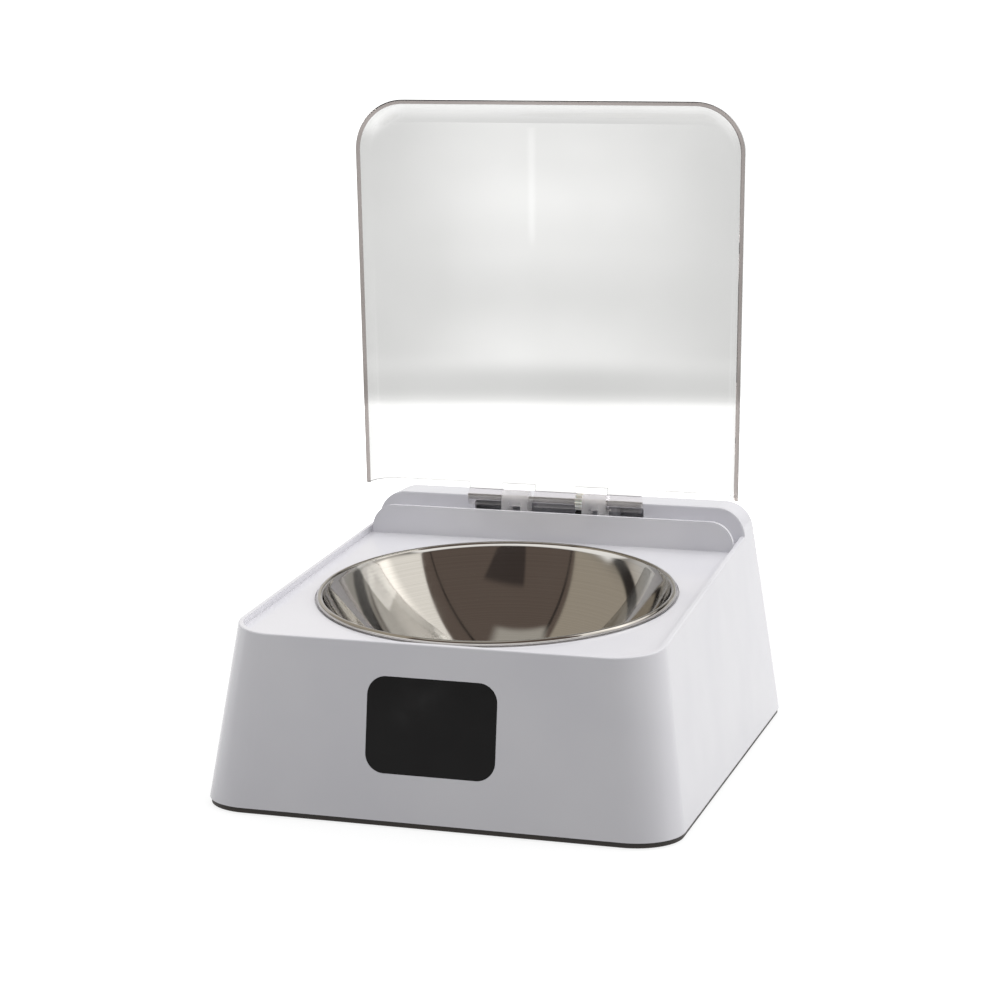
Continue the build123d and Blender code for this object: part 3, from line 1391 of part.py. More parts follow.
# midway between the battery bay and the middle screw post
power_lead_x = -(bay_length / 2 + bay_wall + base_width / 2 - middle_post_inset[0] - boss_radius) / 2
lead_drop_y = battery_y - bay_width / 2 - bay_wall - lead_drop_gap
motor_cross_y = board_rear_y + motor_cross_gap
battery_cross_y = board_rear_y + battery_cross_gap
motor_lead = lead(((motor_end_x, motor_y, motor_z), (motor_lead_x, motor_y, motor_z),
                   (motor_lead_x, lead_drop_y, motor_z), (motor_lead_x, lead_drop_y, lead_z),
                   (motor_lead_x, motor_cross_y, lead_z), (motor_socket_x, motor_cross_y, lead_z),
                   (motor_socket_x, socket_rear_y, lead_z)))
motor_lead.label = "motor_lead"
export_step(motor_lead, "parts/motor_lead.step")

tab_z = bay_roof_z + (bay_wall + contact_tab[1]) / 2
with BuildPart() as battery_lead:
    for side in (-1, 1):
        end_x = battery_socket_x + side * socket_size[0] / 4
        add(lead(((side * cells_right_x, battery_y, tab_z), (side * battery_lead_x, battery_y, tab_z),
                  (side * battery_lead_x, lead_drop_y, tab_z),
                  (side * battery_lead_x, lead_drop_y, lead_z),
                  (side * battery_lead_x, battery_cross_y, lead_z), (end_x, battery_cross_y, lead_z),
                  (end_x, socket_rear_y, lead_z))))
battery_lead.part.label = "battery_lead"
export_step(battery_lead.part, "parts/battery_lead.step")

switch_side = switch_size[0] / 4
jack_depth = wall + jack_size[2]
turn_depth = jack_depth + jack_run
cross_depth = turn_depth + lead_spacing
cross_start = inside_rear(switch_x - switch_side, cross_depth)
with BuildPart() as power_lead:
    add(lead((inside_rear(jack_x, jack_depth), inside_rear(jack_x, turn_depth),
              inside_rear(switch_x + switch_side, turn_depth),
              inside_rear(switch_x + switch_side, wall + switch_size[2]))))
    add(lead((inside_rear(switch_x - switch_side, wall + switch_size[2]), cross_start,
              (power_lead_x, cross_start[1], cross_start[2]), (power_lead_x, lead_drop_y, lead_z),
              (power_lead_x, main_board_y, lead_z),
              (power_socket_x - socket_size[1] / 2, main_board_y, lead_z))))
power_lead.part.label = "power_lead"
export_step(power_lead.part, "parts/power_lead.step")
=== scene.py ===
"""Looks for a lidded pet feeder: glossy plastic housing, spun steel bowl, clear lid on a pinned hinge,
and the drive, sensor, battery bay and boards inside it.

Metres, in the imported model's frame: +X is the feeder's right, -Y its front, +Z up.
"""

from math import acos, atan2, cos, pi, radians, sin

import bpy
import numpy as np
from mathutils import Matrix, Vector


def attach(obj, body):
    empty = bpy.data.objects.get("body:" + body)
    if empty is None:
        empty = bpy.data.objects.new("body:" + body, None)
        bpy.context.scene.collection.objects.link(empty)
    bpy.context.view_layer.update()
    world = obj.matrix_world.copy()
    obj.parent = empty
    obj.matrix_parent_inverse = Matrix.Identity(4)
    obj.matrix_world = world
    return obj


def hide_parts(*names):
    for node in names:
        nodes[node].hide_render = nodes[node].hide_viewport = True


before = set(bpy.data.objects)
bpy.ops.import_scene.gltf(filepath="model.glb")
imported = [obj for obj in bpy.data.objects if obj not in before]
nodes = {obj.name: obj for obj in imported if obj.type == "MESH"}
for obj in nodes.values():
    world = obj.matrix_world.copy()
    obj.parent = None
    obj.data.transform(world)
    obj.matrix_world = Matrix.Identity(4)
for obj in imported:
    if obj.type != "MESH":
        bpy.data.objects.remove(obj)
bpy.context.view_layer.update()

# ---- camera ----
EYE = Vector((0.36225, -1.23569, 0.36149))
YAW, PITCH, ROLL = radians(16.555), radians(9.869), radians(0.15)
LENS, SENSOR = 90.83, 36.0
NEAREST, FARTHEST = 0.05, 60.0

ahead = Vector((-sin(YAW) * cos(PITCH), cos(YAW) * cos(PITCH), -sin(PITCH)))
level = Vector((cos(YAW), sin(YAW), 0))
rise = level.cross(ahead)
right = cos(ROLL) * level + sin(ROLL) * rise
up = cos(ROLL) * rise - sin(ROLL) * level
turn = Matrix((right, up, -ahead)).transposed()
camera = bpy.data.objects.new("camera", bpy.data.cameras.new("camera"))
camera.data.lens = LENS
camera.data.sensor_width = SENSOR
camera.data.sensor_fit = "HORIZONTAL"
camera.data.clip_start, camera.data.clip_end = NEAREST, FARTHEST
camera.matrix_world = Matrix.Translation(EYE) @ turn.to_4x4()
bpy.context.scene.collection.objects.link(camera)
bpy.context.scene.camera = camera
bpy.context.scene.view_settings.view_transform = "Standard"


# ---- node and mesh helpers ----
def tone(red, green, blue):
    """Linear colour of a display colour given from 0 to 255."""
    share = np.array((red, green, blue)) / 255
    linear = np.where(share <= 0.04045, share / 12.92, ((share + 0.055) / 1.055) ** 2.4)
    return (*(float(v) for v in linear), 1.0)


def node(tree, kind, inputs=None, **settings):
    """A shader node with its settings, its inputs linked where a socket is given and set otherwise."""
    made = tree.nodes.new("ShaderNode" + kind)
    for key, value in settings.items():
        setattr(made, key, value)
    for socket, value in (inputs or {}).items():
        if isinstance(value, bpy.types.NodeSocket):
            tree.links.new(value, made.inputs[socket])
        else:
            made.inputs[socket].default_value = value
    return made


def math(tree, operation, *values):
    """The result of a Math node."""
    return node(tree, "Math", dict(enumerate(values)), operation=operation).outputs[0]


def times(tree, first, *others):
    """Values multiplied together."""
    for value in others:
        first = math(tree, "MULTIPLY", first, value)
    return first


def apart(tree, value, middle):
    """How far a value is from a middle, on either side."""
    return math(tree, "ABSOLUTE", math(tree, "SUBTRACT", value, middle))


def ranged(tree, value, low, high, to_low=0.0, to_high=1.0):
    """A value carried from one range to another, smoothly and clamped."""
    return node(tree, "MapRange", {"Value": value, "From Min": low, "From Max": high, "To Min": to_low,
                                   "To Max": to_high}, interpolation_type="SMOOTHSTEP").outputs[0]


def grey(level):
    """A grey as a linear colour."""
    return (level, level, level, 1)


def blended(tree, share, first, second):
    """Two colours mixed by a share."""
    return node(tree, "Mix", {0: share, 6: first, 7: second}, data_type="RGBA").outputs[2]


def grain(tree, place, size, detail=2.0):
    """Noise of a size in metres, from about 0.2 to 0.8."""
    return node(tree, "TexNoise", {"Vector": place, "Scale": 1 / size, "Detail": detail}).outputs[0]


def finish(name, dark, light, mottle=0.02, rough=(0.3, 0.4), rough_size=0.01, relief=(0.1, 0.00002, 0.001),
           layer=None, **sockets):
    """A finish in Object coordinates: colour between two tones, uneven gloss and a fine relief.

    relief is the bump's strength, its depth and its size. layer, if given, is called with the tree, the
    place and the colour, and returns the colour and the height that it adds.
    """
    material = bpy.data.materials.new(name)
    material.use_nodes = True
    tree = material.node_tree
    shader = tree.nodes["Principled BSDF"]
    place = node(tree, "TexCoord").outputs["Object"]
    colour = blended(tree, ranged(tree, grain(tree, place, mottle), 0.3, 0.7), dark, light)
    height = grain(tree, place, relief[2], 3.0)
    if layer:
        colour, height = layer(tree, place, colour, height)
    tree.links.new(colour, shader.inputs["Base Color"])
    gloss = ranged(tree, grain(tree, place, rough_size), 0.3, 0.7, *rough)
    tree.links.new(gloss, shader.inputs["Roughness"])
    bump = node(tree, "Bump", {"Strength": relief[0], "Distance": relief[1], "Height": height})
    tree.links.new(bump.outputs[0], shader.inputs["Normal"])
    for socket, value in sockets.items():
        shader.inputs[socket.replace("_", " ")].default_value = value
    material.diffuse_color = light
    return material


def mesh_of(name, points, faces):
    """An object at the origin with the given points and faces, shaded smooth."""
    mesh = bpy.data.meshes.new(name)
    mesh.from_pydata(points.tolist(), [], faces)
    mesh.polygons.foreach_set("use_smooth", np.ones(len(mesh.polygons), bool))
    mesh.update()
    made = bpy.data.objects.new(name, mesh)
    bpy.context.scene.collection.objects.link(made)
    return made


def grid_faces(rows, columns, wrap_rows=False, wrap_columns=False):
    """Four-cornered faces between neighbouring points of a grid, rows by columns."""
    row = np.arange(rows if wrap_rows else rows - 1)[:, None]
    column = np.arange(columns if wrap_columns else columns - 1)[None, :]
    next_row, next_column = (row + 1) % rows, (column + 1) % columns
    corners = (row * columns + column, next_row * columns + column, next_row * columns + next_column,
               row * columns + next_column)
    return np.stack([np.broadcast_to(c, (row.shape[0], column.shape[1])) for c in corners], -1).reshape(-1, 4)


# ================= bowl =================
DECK_SLOPE = radians(4.6)
BOWL_MIDDLE = np.array((0, -0.0222020, 0.0931243))
BOWL_AXIS = np.array((0, -sin(DECK_SLOPE), cos(DECK_SLOPE)))
BOWL_MOUTH, BOWL_DEPTH, BOWL_CORNER, BOWL_WALL = 0.088902, 0.0560, 0.040, 0.0009
BOWL_SIDE, BOWL_MOUTH_SLOPE = 0.120, radians(64)
BEAD, BEAD_MIDDLE, BEAD_HEIGHT = 0.0017, 0.090702, 0.0008
BOWL_AROUND = 192
FLOOR_STEPS, CORNER_STEPS, SIDE_STEPS, BEAD_STEPS, OUTSIDE_STEPS, UNDER_STEPS = 8, 24, 40, 28, 24, 16


def arc(middle, radius, start, end, steps):
    """Points on a circle arc, from one angle to another in radians."""
    angle = np.linspace(start, end, steps)
    return np.stack((middle[0] + radius * np.cos(angle), middle[1] + radius * np.sin(angle)), -1)


def turned(name, profile, steps, middle, axis):
    """A closed shell: a profile of radius and height that starts and ends on the axis, carried round it.

    A point is middle + radius (cos a, sin a) across the axis + height along it, and the two ends are
    single points.
    """
    across = np.array((1.0, 0.0, 0.0))
    beside = np.cross(axis, across)
    angle = np.linspace(0, 2 * pi, steps, endpoint=False)[:, None, None]
    ring = profile[1:-1]
    points = (middle + ring[None, :, :1] * (np.cos(angle) * across + np.sin(angle) * beside) +
              ring[None, :, 1:] * axis)
    count = len(ring)
    ends = middle + profile[[0, -1], 1][:, None] * axis
    faces = grid_faces(steps, count, wrap_rows=True).tolist()
    first, last = steps * count, steps * count + 1
    here = np.arange(steps)
    ahead_of = (here + 1) % steps
    faces += np.stack((np.full(steps, first), ahead_of * count, here * count), -1).tolist()
    faces += np.stack((np.full(steps, last), here * count + count - 1,
                       ahead_of * count + count - 1), -1).tolist()
    return mesh_of(name, np.concatenate((points.reshape(-1, 3), ends)), faces)


def bowl_profile():
    """Inside floor, corner arc and the side's wider arc, round the rolled rim, and down the outside.

    The side's arc passes the mouth at its slope. Its middle and the corner arc's lie on one line with the
    point where the two meet, so there is no edge. The outside runs the wall's thickness further out.
    """
    bead = np.array((BEAD_MIDDLE, BEAD_HEIGHT))
    side_middle = np.array((BOWL_MOUTH - BOWL_SIDE * sin(BOWL_MOUTH_SLOPE),
                            BEAD_HEIGHT + BOWL_SIDE * cos(BOWL_MOUTH_SLOPE)))
    slope = acos((side_middle[1] + BOWL_DEPTH - BOWL_CORNER) / (BOWL_SIDE - BOWL_CORNER))
    corner_middle = (side_middle[0] + (BOWL_SIDE - BOWL_CORNER) * sin(slope), BOWL_CORNER - BOWL_DEPTH)

    def side(radius, steps):
        """The side's arc of a radius, from the corner up to where it enters the bead from below."""
        gap = bead - side_middle
        reach = np.hypot(*gap)
        along = (reach ** 2 + radius ** 2 - BEAD ** 2) / (2 * reach)
        beside = np.sqrt(radius ** 2 - along ** 2)
        end = atan2(gap[1], gap[0]) - atan2(beside, along)
        return arc(side_middle, radius, slope - pi / 2, end, steps)

    inner, outer = side(BOWL_SIDE, SIDE_STEPS), side(BOWL_SIDE + BOWL_WALL, OUTSIDE_STEPS)
    start = atan2(*(inner[-1] - bead)[::-1])
    end = atan2(*(outer[-1] - bead)[::-1])
    floor_radius = np.linspace(0, corner_middle[0], FLOOR_STEPS)
    return np.concatenate((
        np.stack((floor_radius, np.full(FLOOR_STEPS, -BOWL_DEPTH)), -1)[:-1],
        arc(corner_middle, BOWL_CORNER, -pi / 2, slope - pi / 2, CORNER_STEPS), inner[1:],
        arc(bead, BEAD, start, end if end < start - pi / 2 else end - 2 * pi, BEAD_STEPS)[1:],
        outer[-2::-1],
        arc(corner_middle, BOWL_CORNER + BOWL_WALL, slope - pi / 2, -pi / 2, UNDER_STEPS)[1:],
        np.array(((0.0, -BOWL_DEPTH - BOWL_WALL),))))


bowl = turned("steel_bowl", bowl_profile(), BOWL_AROUND, BOWL_MIDDLE, BOWL_AXIS)
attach(bowl, "bowl_body")
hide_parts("bowl")


# ================= finishes =================
TURNING_LINES = 2600.0   # to a metre of radius


def spun(tree, place, colour, height):
    """Fine turning lines round the bowl's axis: noise over the radius, with painted shade a little darker in
    the grooves.
    """
    moved = node(tree, "Mapping", {"Vector": place, "Location": tuple(-BOWL_MIDDLE)})
    level_place = node(tree, "Mapping", {"Vector": moved.outputs[0], "Rotation": (-DECK_SLOPE, 0, 0)})
    split = node(tree, "SeparateXYZ", {0: level_place.outputs[0]})
    radius = math(tree, "SQRT", math(tree, "ADD", math(tree, "POWER", split.outputs[0], 2.0),
                                     math(tree, "POWER", split.outputs[1], 2.0)))
    lines = node(tree, "TexNoise", {"W": radius, "Scale": TURNING_LINES, "Detail": 3.0},
                 noise_dimensions="1D").outputs[0]
    height = math(tree, "ADD", lines, math(tree, "MULTIPLY", height, 0.1))
    # painted shade: a little darker in the grooves
    return blended(tree, ranged(tree, lines, 0.3, 0.7), tone(200, 197, 192), tone(207, 204, 199)), height


HINGE = np.array((0, 0.0916, 0.1219949))
LID_LEAN = radians(-2.6)
LID_OUTWARD = np.array((0, cos(LID_LEAN), -sin(LID_LEAN)))
LID_RIM_DEPTH = 0.0155632
# painted light on the lid: shade along its cut rim, a highlight on its top shoulder, a brighter hinge
RIM_SHADE_DEPTHS = (0.0008 - LID_RIM_DEPTH, 0.0002 - LID_RIM_DEPTH)   # where the cut rim's painted shade starts and is full
RIM_SHADE_LOWEST = (0.128, 0.130)
SHOULDER_HIGHLIGHT_TURN, SHOULDER_HIGHLIGHT_LEVEL = (-0.0012, -0.006), (0.318, 0.331)        # the painted highlight on the turned shoulder at the lid's top
HINGE_BRIGHTENING_TOP = (0.1272, 0.1264)


def lid_painted_shade_and_light(tree, place, colour, height):
    """Painted shade in dark grey-brown along the lid's cut rim, a painted highlight on its top shoulder, and
    painted light, hardly any tint, in the hinge, by the depth behind the hinge line and the height."""
    depth = node(tree, "VectorMath", {0: node(tree, "VectorMath", {0: place, 1: tuple(HINGE)},
                                              operation="SUBTRACT").outputs[0], 1: tuple(LID_OUTWARD)},
                 operation="DOT_PRODUCT").outputs["Value"]
    level = node(tree, "SeparateXYZ", {0: place}).outputs[2]
    # painted shade along the cut rim
    rim_painted_shade = times(tree, ranged(tree, depth, *RIM_SHADE_DEPTHS), ranged(tree, level, *RIM_SHADE_LOWEST))
    # painted highlight on the top shoulder
    shoulder_painted_highlight = times(tree, ranged(tree, depth, *SHOULDER_HIGHLIGHT_TURN), ranged(tree, level, *SHOULDER_HIGHLIGHT_LEVEL))
    colour = blended(tree, shoulder_painted_highlight, colour, tone(230, 230, 229))
    colour = blended(tree, rim_painted_shade, colour, tone(90, 82, 79))
    # painted brightening in the hinge, nearly untinted
    return blended(tree, ranged(tree, level, *HINGE_BRIGHTENING_TOP), colour, tone(250, 248, 248)), height


housing_plastic = finish("glossy_pale_plastic", tone(223, 222, 227), tone(228, 227, 231), mottle=0.06,
                         rough=(0.10, 0.16), rough_size=0.03, relief=(0.05, 0.00002, 0.0035),
                         IOR=1.5)
base_plastic = finish("black_moulded_plastic", tone(48, 43, 40), tone(58, 52, 47), mottle=0.01,
                      rough=(0.45, 0.6), relief=(0.3, 0.00005, 0.0006))
window_plastic = finish("dark_sensor_window", tone(8, 7, 7), tone(12, 11, 11), mottle=0.03,
                        rough=(0.07, 0.12), relief=(0.05, 0.00002, 0.002), IOR=1.5, Specular_IOR_Level=0.4)
# clear lid plastic, with painted shade on its rim and painted highlights on its shoulder and hinge
clear_plastic = finish("clear_lid_plastic_painted_light", tone(193, 193, 192), tone(198, 198, 197), mottle=0.08,
                       rough=(0.0, 0.02), rough_size=0.05, relief=(0.02, 0.00002, 0.02), layer=lid_painted_shade_and_light,
                       Transmission_Weight=1.0, IOR=1.03, Coat_Weight=1.0, Coat_Roughness=0.02, Coat_IOR=1.5)
# hinge brackets: clear plastic made near white and partly matt, a painted brightening over the shaded trough
hinge_painted_bright = finish("clear_hinge_plastic_painted_bright", tone(242, 239, 239), tone(248, 246, 246), mottle=0.01,
                     rough=(0.0, 0.03), rough_size=0.01, relief=(0.02, 0.00002, 0.006),
                     Transmission_Weight=0.7, IOR=1.03, Coat_Weight=1.0, Coat_Roughness=0.03, Coat_IOR=1.5)
rubber = finish("black_rubber", tone(28, 27, 27), tone(38, 37, 36), mottle=0.004, rough=(0.7, 0.85),
                relief=(0.4, 0.00005, 0.0004))
bowl_steel = finish("spun_steel", tone(190, 187, 182), tone(205, 202, 197), mottle=0.03, rough=(0.04, 0.09),
                    rough_size=0.02, relief=(0.01, 0.000001, 0.004), layer=spun, Metallic=1.0)
steel = finish("bright_steel", tone(176, 176, 178), tone(204, 203, 202), mottle=0.003, rough=(0.2, 0.35),
               rough_size=0.002, relief=(0.2, 0.00002, 0.0003), Metallic=1.0)
ground_steel = finish("ground_steel", tone(206, 205, 204), tone(222, 221, 220), mottle=0.004,
                      rough=(0.4, 0.55), rough_size=0.002, relief=(0.1, 0.00001, 0.0003), Metallic=1.0)
brass = finish("turned_brass", tone(186, 150, 84), tone(206, 172, 104), mottle=0.002, rough=(0.2, 0.32),
               rough_size=0.002, relief=(0.2, 0.00002, 0.0003), Metallic=1.0)
white_nylon = finish("white_nylon", tone(222, 220, 212), tone(233, 231, 225), mottle=0.004,
                     rough=(0.35, 0.5), relief=(0.2, 0.00003, 0.0008), Subsurface_Weight=0.1)
black_nylon = finish("black_nylon", tone(24, 23, 24), tone(36, 35, 36), mottle=0.003, rough=(0.35, 0.5),
                     relief=(0.2, 0.00003, 0.0008))
box_plastic = finish("box_plastic", tone(196, 198, 199), tone(208, 210, 210), mottle=0.01,
                     rough=(0.35, 0.5), relief=(0.25, 0.00004, 0.0009))
circuit_board = finish("circuit_board", tone(20, 84, 48), tone(28, 104, 60), mottle=0.003,
                       rough=(0.25, 0.4), relief=(0.4, 0.00004, 0.0012))
chip = finish("chip_body", tone(26, 26, 27), tone(38, 38, 39), mottle=0.001, rough=(0.5, 0.65),
              relief=(0.3, 0.00002, 0.0002))
socket_plastic = finish("socket_plastic", tone(228, 222, 204), tone(238, 233, 218), mottle=0.002,
                        rough=(0.4, 0.55), relief=(0.2, 0.00003, 0.0005))
capacitor = finish("capacitor_sleeve", tone(24, 30, 48), tone(34, 41, 62), mottle=0.002, rough=(0.25, 0.4),
                   relief=(0.1, 0.00003, 0.0008))
diode_clear = finish("clear_diode", tone(236, 236, 240), tone(244, 244, 248), mottle=0.002,
                     rough=(0.03, 0.08), relief=(0.05, 0.00001, 0.001), Transmission_Weight=0.85, IOR=1.5)
diode_dark = finish("dark_diode", tone(30, 18, 32), tone(44, 26, 46), mottle=0.002, rough=(0.05, 0.1),
                    relief=(0.05, 0.00001, 0.001), Transmission_Weight=0.3, IOR=1.5)
cell_wrap = finish("cell_wrap", tone(52, 84, 96), tone(62, 98, 110), mottle=0.006, rough=(0.2, 0.3),
                   relief=(0.1, 0.00003, 0.002))
lead_black = finish("lead_sleeve", tone(26, 26, 28), tone(36, 36, 38), mottle=0.003, rough=(0.4, 0.55),
                    relief=(0.2, 0.00003, 0.0006))

by_slot = {"light_plastic": housing_plastic, "black_plastic": base_plastic, "window_plastic": window_plastic,
           "clear_plastic": clear_plastic, "rubber": rubber, "bowl_steel": bowl_steel, "steel": steel,
           "white_nylon": white_nylon, "black_nylon": black_nylon, "box_plastic": box_plastic,
           "brass": brass, "circuit_board": circuit_board, "chip": chip, "socket_plastic": socket_plastic,
           "capacitor": capacitor, "diode_clear": diode_clear, "diode_dark": diode_dark,
           "cell": cell_wrap, "lead_black": lead_black}
for name, part in nodes.items():
    for index, held in enumerate(part.data.materials):
        part.data.materials[index] = by_slot[held.name.split(".")[0]]
# the hinge brackets take the painted-bright plastic
for name in ("hinge_bracket_left", "hinge_bracket_right"):
    nodes[name].data.materials[0] = hinge_painted_bright
nodes["hinge_shaft"].data.materials[0] = ground_steel
bowl.data.materials.append(bowl_steel)
for name in ("lid", "hinge_bracket_left", "hinge_bracket_right"):
    # clear plastic lets light through
    nodes[name].visible_shadow = nodes[name].visible_diffuse = False


# ================= stage =================
def stage_piece(name, points, faces, material):
    """A stage mesh, which isn't part of the feeder."""
    made = mesh_of(name, np.array(points, float), faces)
    made.data.materials.append(material)
    return made


def cleared(material):
    """The emptied node tree of a material or a world."""
    material.use_nodes = True
    material.node_tree.nodes.clear()
    return material.node_tree


def ray_kinds(tree):
    """1 where a ray has been mirrored, and 1 where it hasn't been scattered by a matt surface."""
    path = node(tree, "LightPath")
    return (math(tree, "GREATER_THAN", path.outputs["Glossy Depth"], 0.5),
            math(tree, "LESS_THAN", path.outputs["Diffuse Depth"], 0.5))


# ---- floor ----
FLOOR_TONE, FLOOR_HALF = 0.25, 14.0
# the floor's painted glow straight on and through clear plastic, uneven by its distance from a spot in front
BACK_FULL, BACK_SPOT = 2.0, (0.362, -1.236)
BACK_PAINTED_GLOW = ((1.75, 0.80), (1.95, 1.72), (2.66, 1.72), (2.74, 1.05), (2.80, 0.95), (2.88, 0.97),
        (3.12, 1.36), (3.95, 1.16), (4.95, 1.28), (6.75, 1.40), (9.5, 1.33), (13.5, 1.27))
MIDDLE_SLANT, MIDDLE_HALF, MIDDLE_LOSS, MIDDLE_FROM = -0.276, (0.01, 0.08), 0.95, (2.75, 3.2)
# a thin painted glow line in front, which only mirrors show, and the floor's painted glow in mirrors by its
# depth
LINE_SLANT, LINE_SPOT, LINE_HALF, LINE_FULL = -0.2843, (-0.015, 0.09), (0.0035, 0.0008), 1.3
LINE_START, LINE_END = (-1.45, -1.6), (-2.9, -2.5)
MIRRORED_DEPTH, MIRRORED_LEVEL = (-0.35, 0.0), (0.10, 0.75)

floor_paint_and_painted_glow = bpy.data.materials.new("floor_paint_and_painted_glow")
tree = cleared(floor_paint_and_painted_glow)
mirror, unlit = ray_kinds(tree)
paint = node(tree, "BsdfDiffuse", {"Color": grey(FLOOR_TONE)})
spot = node(tree, "SeparateXYZ", {0: node(tree, "TexCoord").outputs["Object"]})
spot_x, spot_y = spot.outputs[0], spot.outputs[1]
off_x = math(tree, "SUBTRACT", spot_x, BACK_SPOT[0])
off_y = math(tree, "SUBTRACT", spot_y, BACK_SPOT[1])
reach = math(tree, "SQRT", math(tree, "ADD", times(tree, off_x, off_x), times(tree, off_y, off_y)))
nearest, farthest = BACK_PAINTED_GLOW[0][0], BACK_PAINTED_GLOW[-1][0]
share = node(tree, "MapRange", {"Value": reach, "From Min": nearest, "From Max": farthest})
ramp = node(tree, "ValToRGB", {0: share.outputs[0]})
ramp.color_ramp.interpolation = "EASE"
stops = ramp.color_ramp.elements
for index, (where, bright) in enumerate(BACK_PAINTED_GLOW):
    at = (where - nearest) / (farthest - nearest)
    stop = stops[0] if index == 0 else (stops[-1] if index == len(BACK_PAINTED_GLOW) - 1 else stops.new(at))
    stop.position, stop.color = at, grey(bright / BACK_FULL)
level = times(tree, ramp.outputs[0], BACK_FULL)
# painted glow, brighter down its middle
aside = apart(tree, math(tree, "DIVIDE", off_x, math(tree, "MAXIMUM", off_y, 0.3)), MIDDLE_SLANT)
sides = times(tree, ranged(tree, aside, *MIDDLE_HALF, 0.0, MIDDLE_LOSS), ranged(tree, reach, *MIDDLE_FROM))
level = math(tree, "SUBTRACT", level, times(tree, sides, math(tree, "SUBTRACT", level, 1.0)))
line = apart(tree, math(tree, "DIVIDE", math(tree, "SUBTRACT", spot_x, LINE_SPOT[0]), math(
    tree, "MAXIMUM", math(tree, "SUBTRACT", LINE_SPOT[1], spot_y), 0.1)), LINE_SLANT)
line = times(tree, ranged(tree, line, *LINE_HALF, 0.0, LINE_FULL), times(
    tree, ranged(tree, spot_y, *LINE_START), ranged(tree, spot_y, *LINE_END)))
mirrored = math(tree, "ADD", line, ranged(tree, spot_y, *MIRRORED_DEPTH, *MIRRORED_LEVEL))
level = math(tree, "ADD", times(tree, mirror, mirrored),
             times(tree, math(tree, "SUBTRACT", 1.0, mirror), level))
glow = node(tree, "Emission", {"Color": grey(1), "Strength": times(tree, level, unlit)})
both = node(tree, "AddShader", {0: paint.outputs[0], 1: glow.outputs[0]})
node(tree, "OutputMaterial", {"Surface": both.outputs[0]})
stage_piece("floor", [(-FLOOR_HALF, -FLOOR_HALF, 0), (FLOOR_HALF, -FLOOR_HALF, 0),
                      (FLOOR_HALF, FLOOR_HALF, 0), (-FLOOR_HALF, FLOOR_HALF, 0)], [(0, 1, 2, 3)], floor_paint_and_painted_glow)

# ---- studio: the fill that lights matt surfaces ----
FILL_FRONT, FILL_REAR, FILL_ABOVE, FILL_RIGHT, FILL_LEFT = 0.12, 0.48, 0.80, 0.82, 0.22
# ---- studio: what polished surfaces mirror, and the white that shows straight on ----
BARE_WHITE = 1.28
CEILING, BEAM, FRAME = (0.143, 0.112, 0.096, 1), (0.060, 0.048, 0.044, 1), (0.03, 0.025, 0.022, 1)
SKYLIGHT, WALL, LOW_WALL = (0.48, 0.46, 0.42, 1), (0.43, 0.385, 0.32, 1), (0.62, 0.59, 0.55, 1)
POST, BACKDROP = (0.035, 0.03, 0.028, 1), grey(0.66)
FRONT_DARK, FRONT_SHEET = grey(0.12), grey(1.2)
PANE_GREEN, PANE_BLUE = 0.975, 0.93                 # the window's warm tint, beside its red
LEFT_EDGE_SLANT, RIGHT_EDGE_SLANT = 0.55, 0.567     # how the ceiling's two edges run

world = bpy.data.worlds.new("studio")
bpy.context.scene.world = world
tree = cleared(world)
mirror, unlit = ray_kinds(tree)
way = node(tree, "SeparateXYZ", {0: node(tree, "TexCoord").outputs["Generated"]})
x, y, z = way.outputs[0], way.outputs[1], way.outputs[2]
# dim from the front, brighter from behind, above, the right and the left
fill = math(tree, "ADD", ranged(tree, y, -0.3, 0.7, FILL_FRONT, FILL_REAR),
            math(tree, "ADD", ranged(tree, z, 0.05, 0.75, 0.0, FILL_ABOVE), times(
                tree, ranged(tree, x, 0.0, 0.9, 0.0, FILL_RIGHT), ranged(tree, y, -0.6, 0.1))))
fill = math(tree, "ADD", fill, ranged(tree, x, -0.1, -0.9, 0.0, FILL_LEFT))
# a level plane overhead, u to the right and v to the rear, one unit up: a dim warm ceiling between two
# slanting edges, with a dark beam, thin frames and a skylight
height = math(tree, "MAXIMUM", z, 0.02)
u, v = math(tree, "DIVIDE", x, height), math(tree, "DIVIDE", y, height)
left_edge = math(tree, "SUBTRACT", u, times(tree, math(tree, "MINIMUM", v, 0.0), LEFT_EDGE_SLANT))
right_edge = math(tree, "ADD", v, times(tree, u, RIGHT_EDGE_SLANT))
beam = times(tree, ranged(tree, apart(tree, u, 0.12), 0.30, 0.24), ranged(tree, v, -0.70, -0.84))
frames = math(tree, "MAXIMUM", ranged(tree, apart(tree, right_edge, 0.12), 0.02, 0.008),
              ranged(tree, apart(tree, left_edge, -0.36), 0.026, 0.01))
skylight = times(tree, ranged(tree, v, -0.28, -0.20), ranged(tree, apart(tree, u, -0.20), 0.32, 0.20))
room = blended(tree, beam, CEILING, BEAM)
room = blended(tree, frames, room, FRAME)
room = blended(tree, skylight, room, SKYLIGHT)
# a beige wall to the left, and a tall window to the right
room = blended(tree, ranged(tree, left_edge, -0.44, -0.50), room, WALL)
window = times(tree, ranged(tree, right_edge, 0.34, 0.375), times(
    tree, ranged(tree, v, 1.2, 1.05), ranged(tree, u, 0.2, 0.3)))
pane = times(tree, ranged(tree, v, 0.12, 0.38, 1.1, 1.75), ranged(tree, v, 0.45, 0.8, 1.0, 0.68))
room = blended(tree, window, room, node(tree, "CombineColor", {
    0: pane, 1: times(tree, pane, PANE_GREEN), 2: times(tree, pane, PANE_BLUE)}).outputs[0])
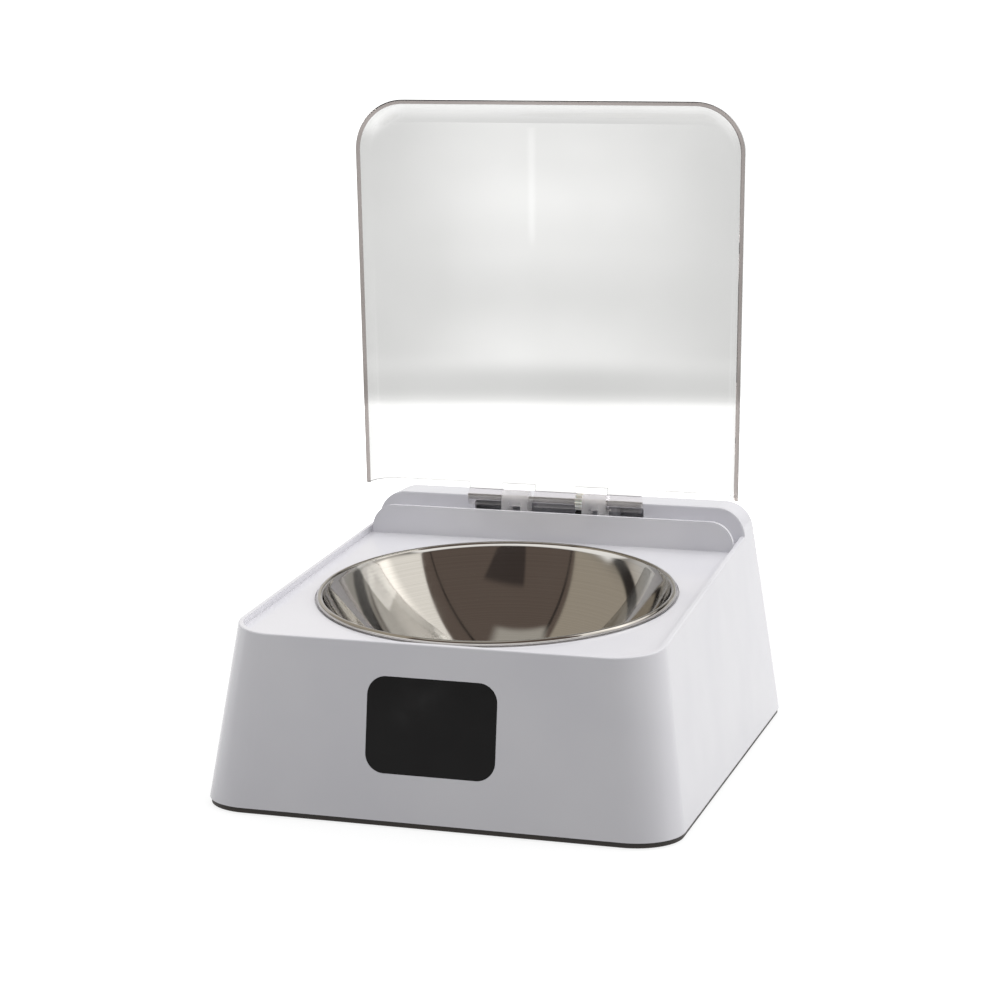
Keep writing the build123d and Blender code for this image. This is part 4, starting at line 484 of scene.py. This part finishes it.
# paler walls low down, a dark post on either side, and a pale backdrop behind
low = math(tree, "MAXIMUM", ranged(tree, v, 1.1, 1.25), ranged(tree, z, 0.42, 0.30))
room = blended(tree, low, room, LOW_WALL)
left_post = times(tree, ranged(tree, u, -2.1, -2.2), ranged(tree, u, -2.75, -2.6))
right_post = times(tree, ranged(tree, v, 1.28, 1.4), ranged(tree, v, 2.05, 1.9))
posts = math(tree, "MAXIMUM", times(tree, right_post, ranged(tree, u, 0.0, 0.2)), left_post)
room = blended(tree, posts, room, POST)
backdrop = times(tree, ranged(tree, z, 0.34, 0.22), ranged(tree, y, -0.5, 0.3))
room = blended(tree, backdrop, room, BACKDROP)
# in front, dark low down with a white sheet above it
sheet = times(tree, ranged(tree, v, -0.6, -0.85), times(
    tree, ranged(tree, z, 0.08, 0.2), ranged(tree, z, 0.45, 0.40)))
front = blended(tree, sheet, blended(tree, ranged(tree, z, 0.34, 0.5), FRONT_DARK, room), FRONT_SHEET)
room = blended(tree, ranged(tree, y, 0.1, -0.4), room, front)
fill_colour = node(tree, "CombineColor", {0: fill, 1: fill, 2: fill}).outputs[0]
sight = blended(tree, mirror, grey(BARE_WHITE), room)
back = node(tree, "Background", {"Color": blended(tree, unlit, fill_colour, sight), "Strength": 1.0})
node(tree, "OutputWorld", {"Surface": back.outputs[0]})


def lamp(name, place, size, power, aim=(0.0, 0.0, 0.1)):
    """A rectangular soft lamp aimed at a point, unseen in mirrors."""
    light = bpy.data.lights.new(name, "AREA")
    light.shape = "RECTANGLE"
    light.size, light.size_y = size
    light.energy = power
    made = bpy.data.objects.new(name, light)
    facing = (Vector(aim) - Vector(place)).to_track_quat("-Z", "Y")
    made.matrix_world = Matrix.Translation(place) @ facing.to_matrix().to_4x4()
    made.visible_glossy = False
    bpy.context.scene.collection.objects.link(made)
    return made


lamp("top_lamp", place=(0.1, 0.6, 1.9), size=(1.6, 1.2), power=2.5)
lamp("right_lamp", place=(1.8, 0.7, 0.9), size=(1.0, 1.2), power=3.5)
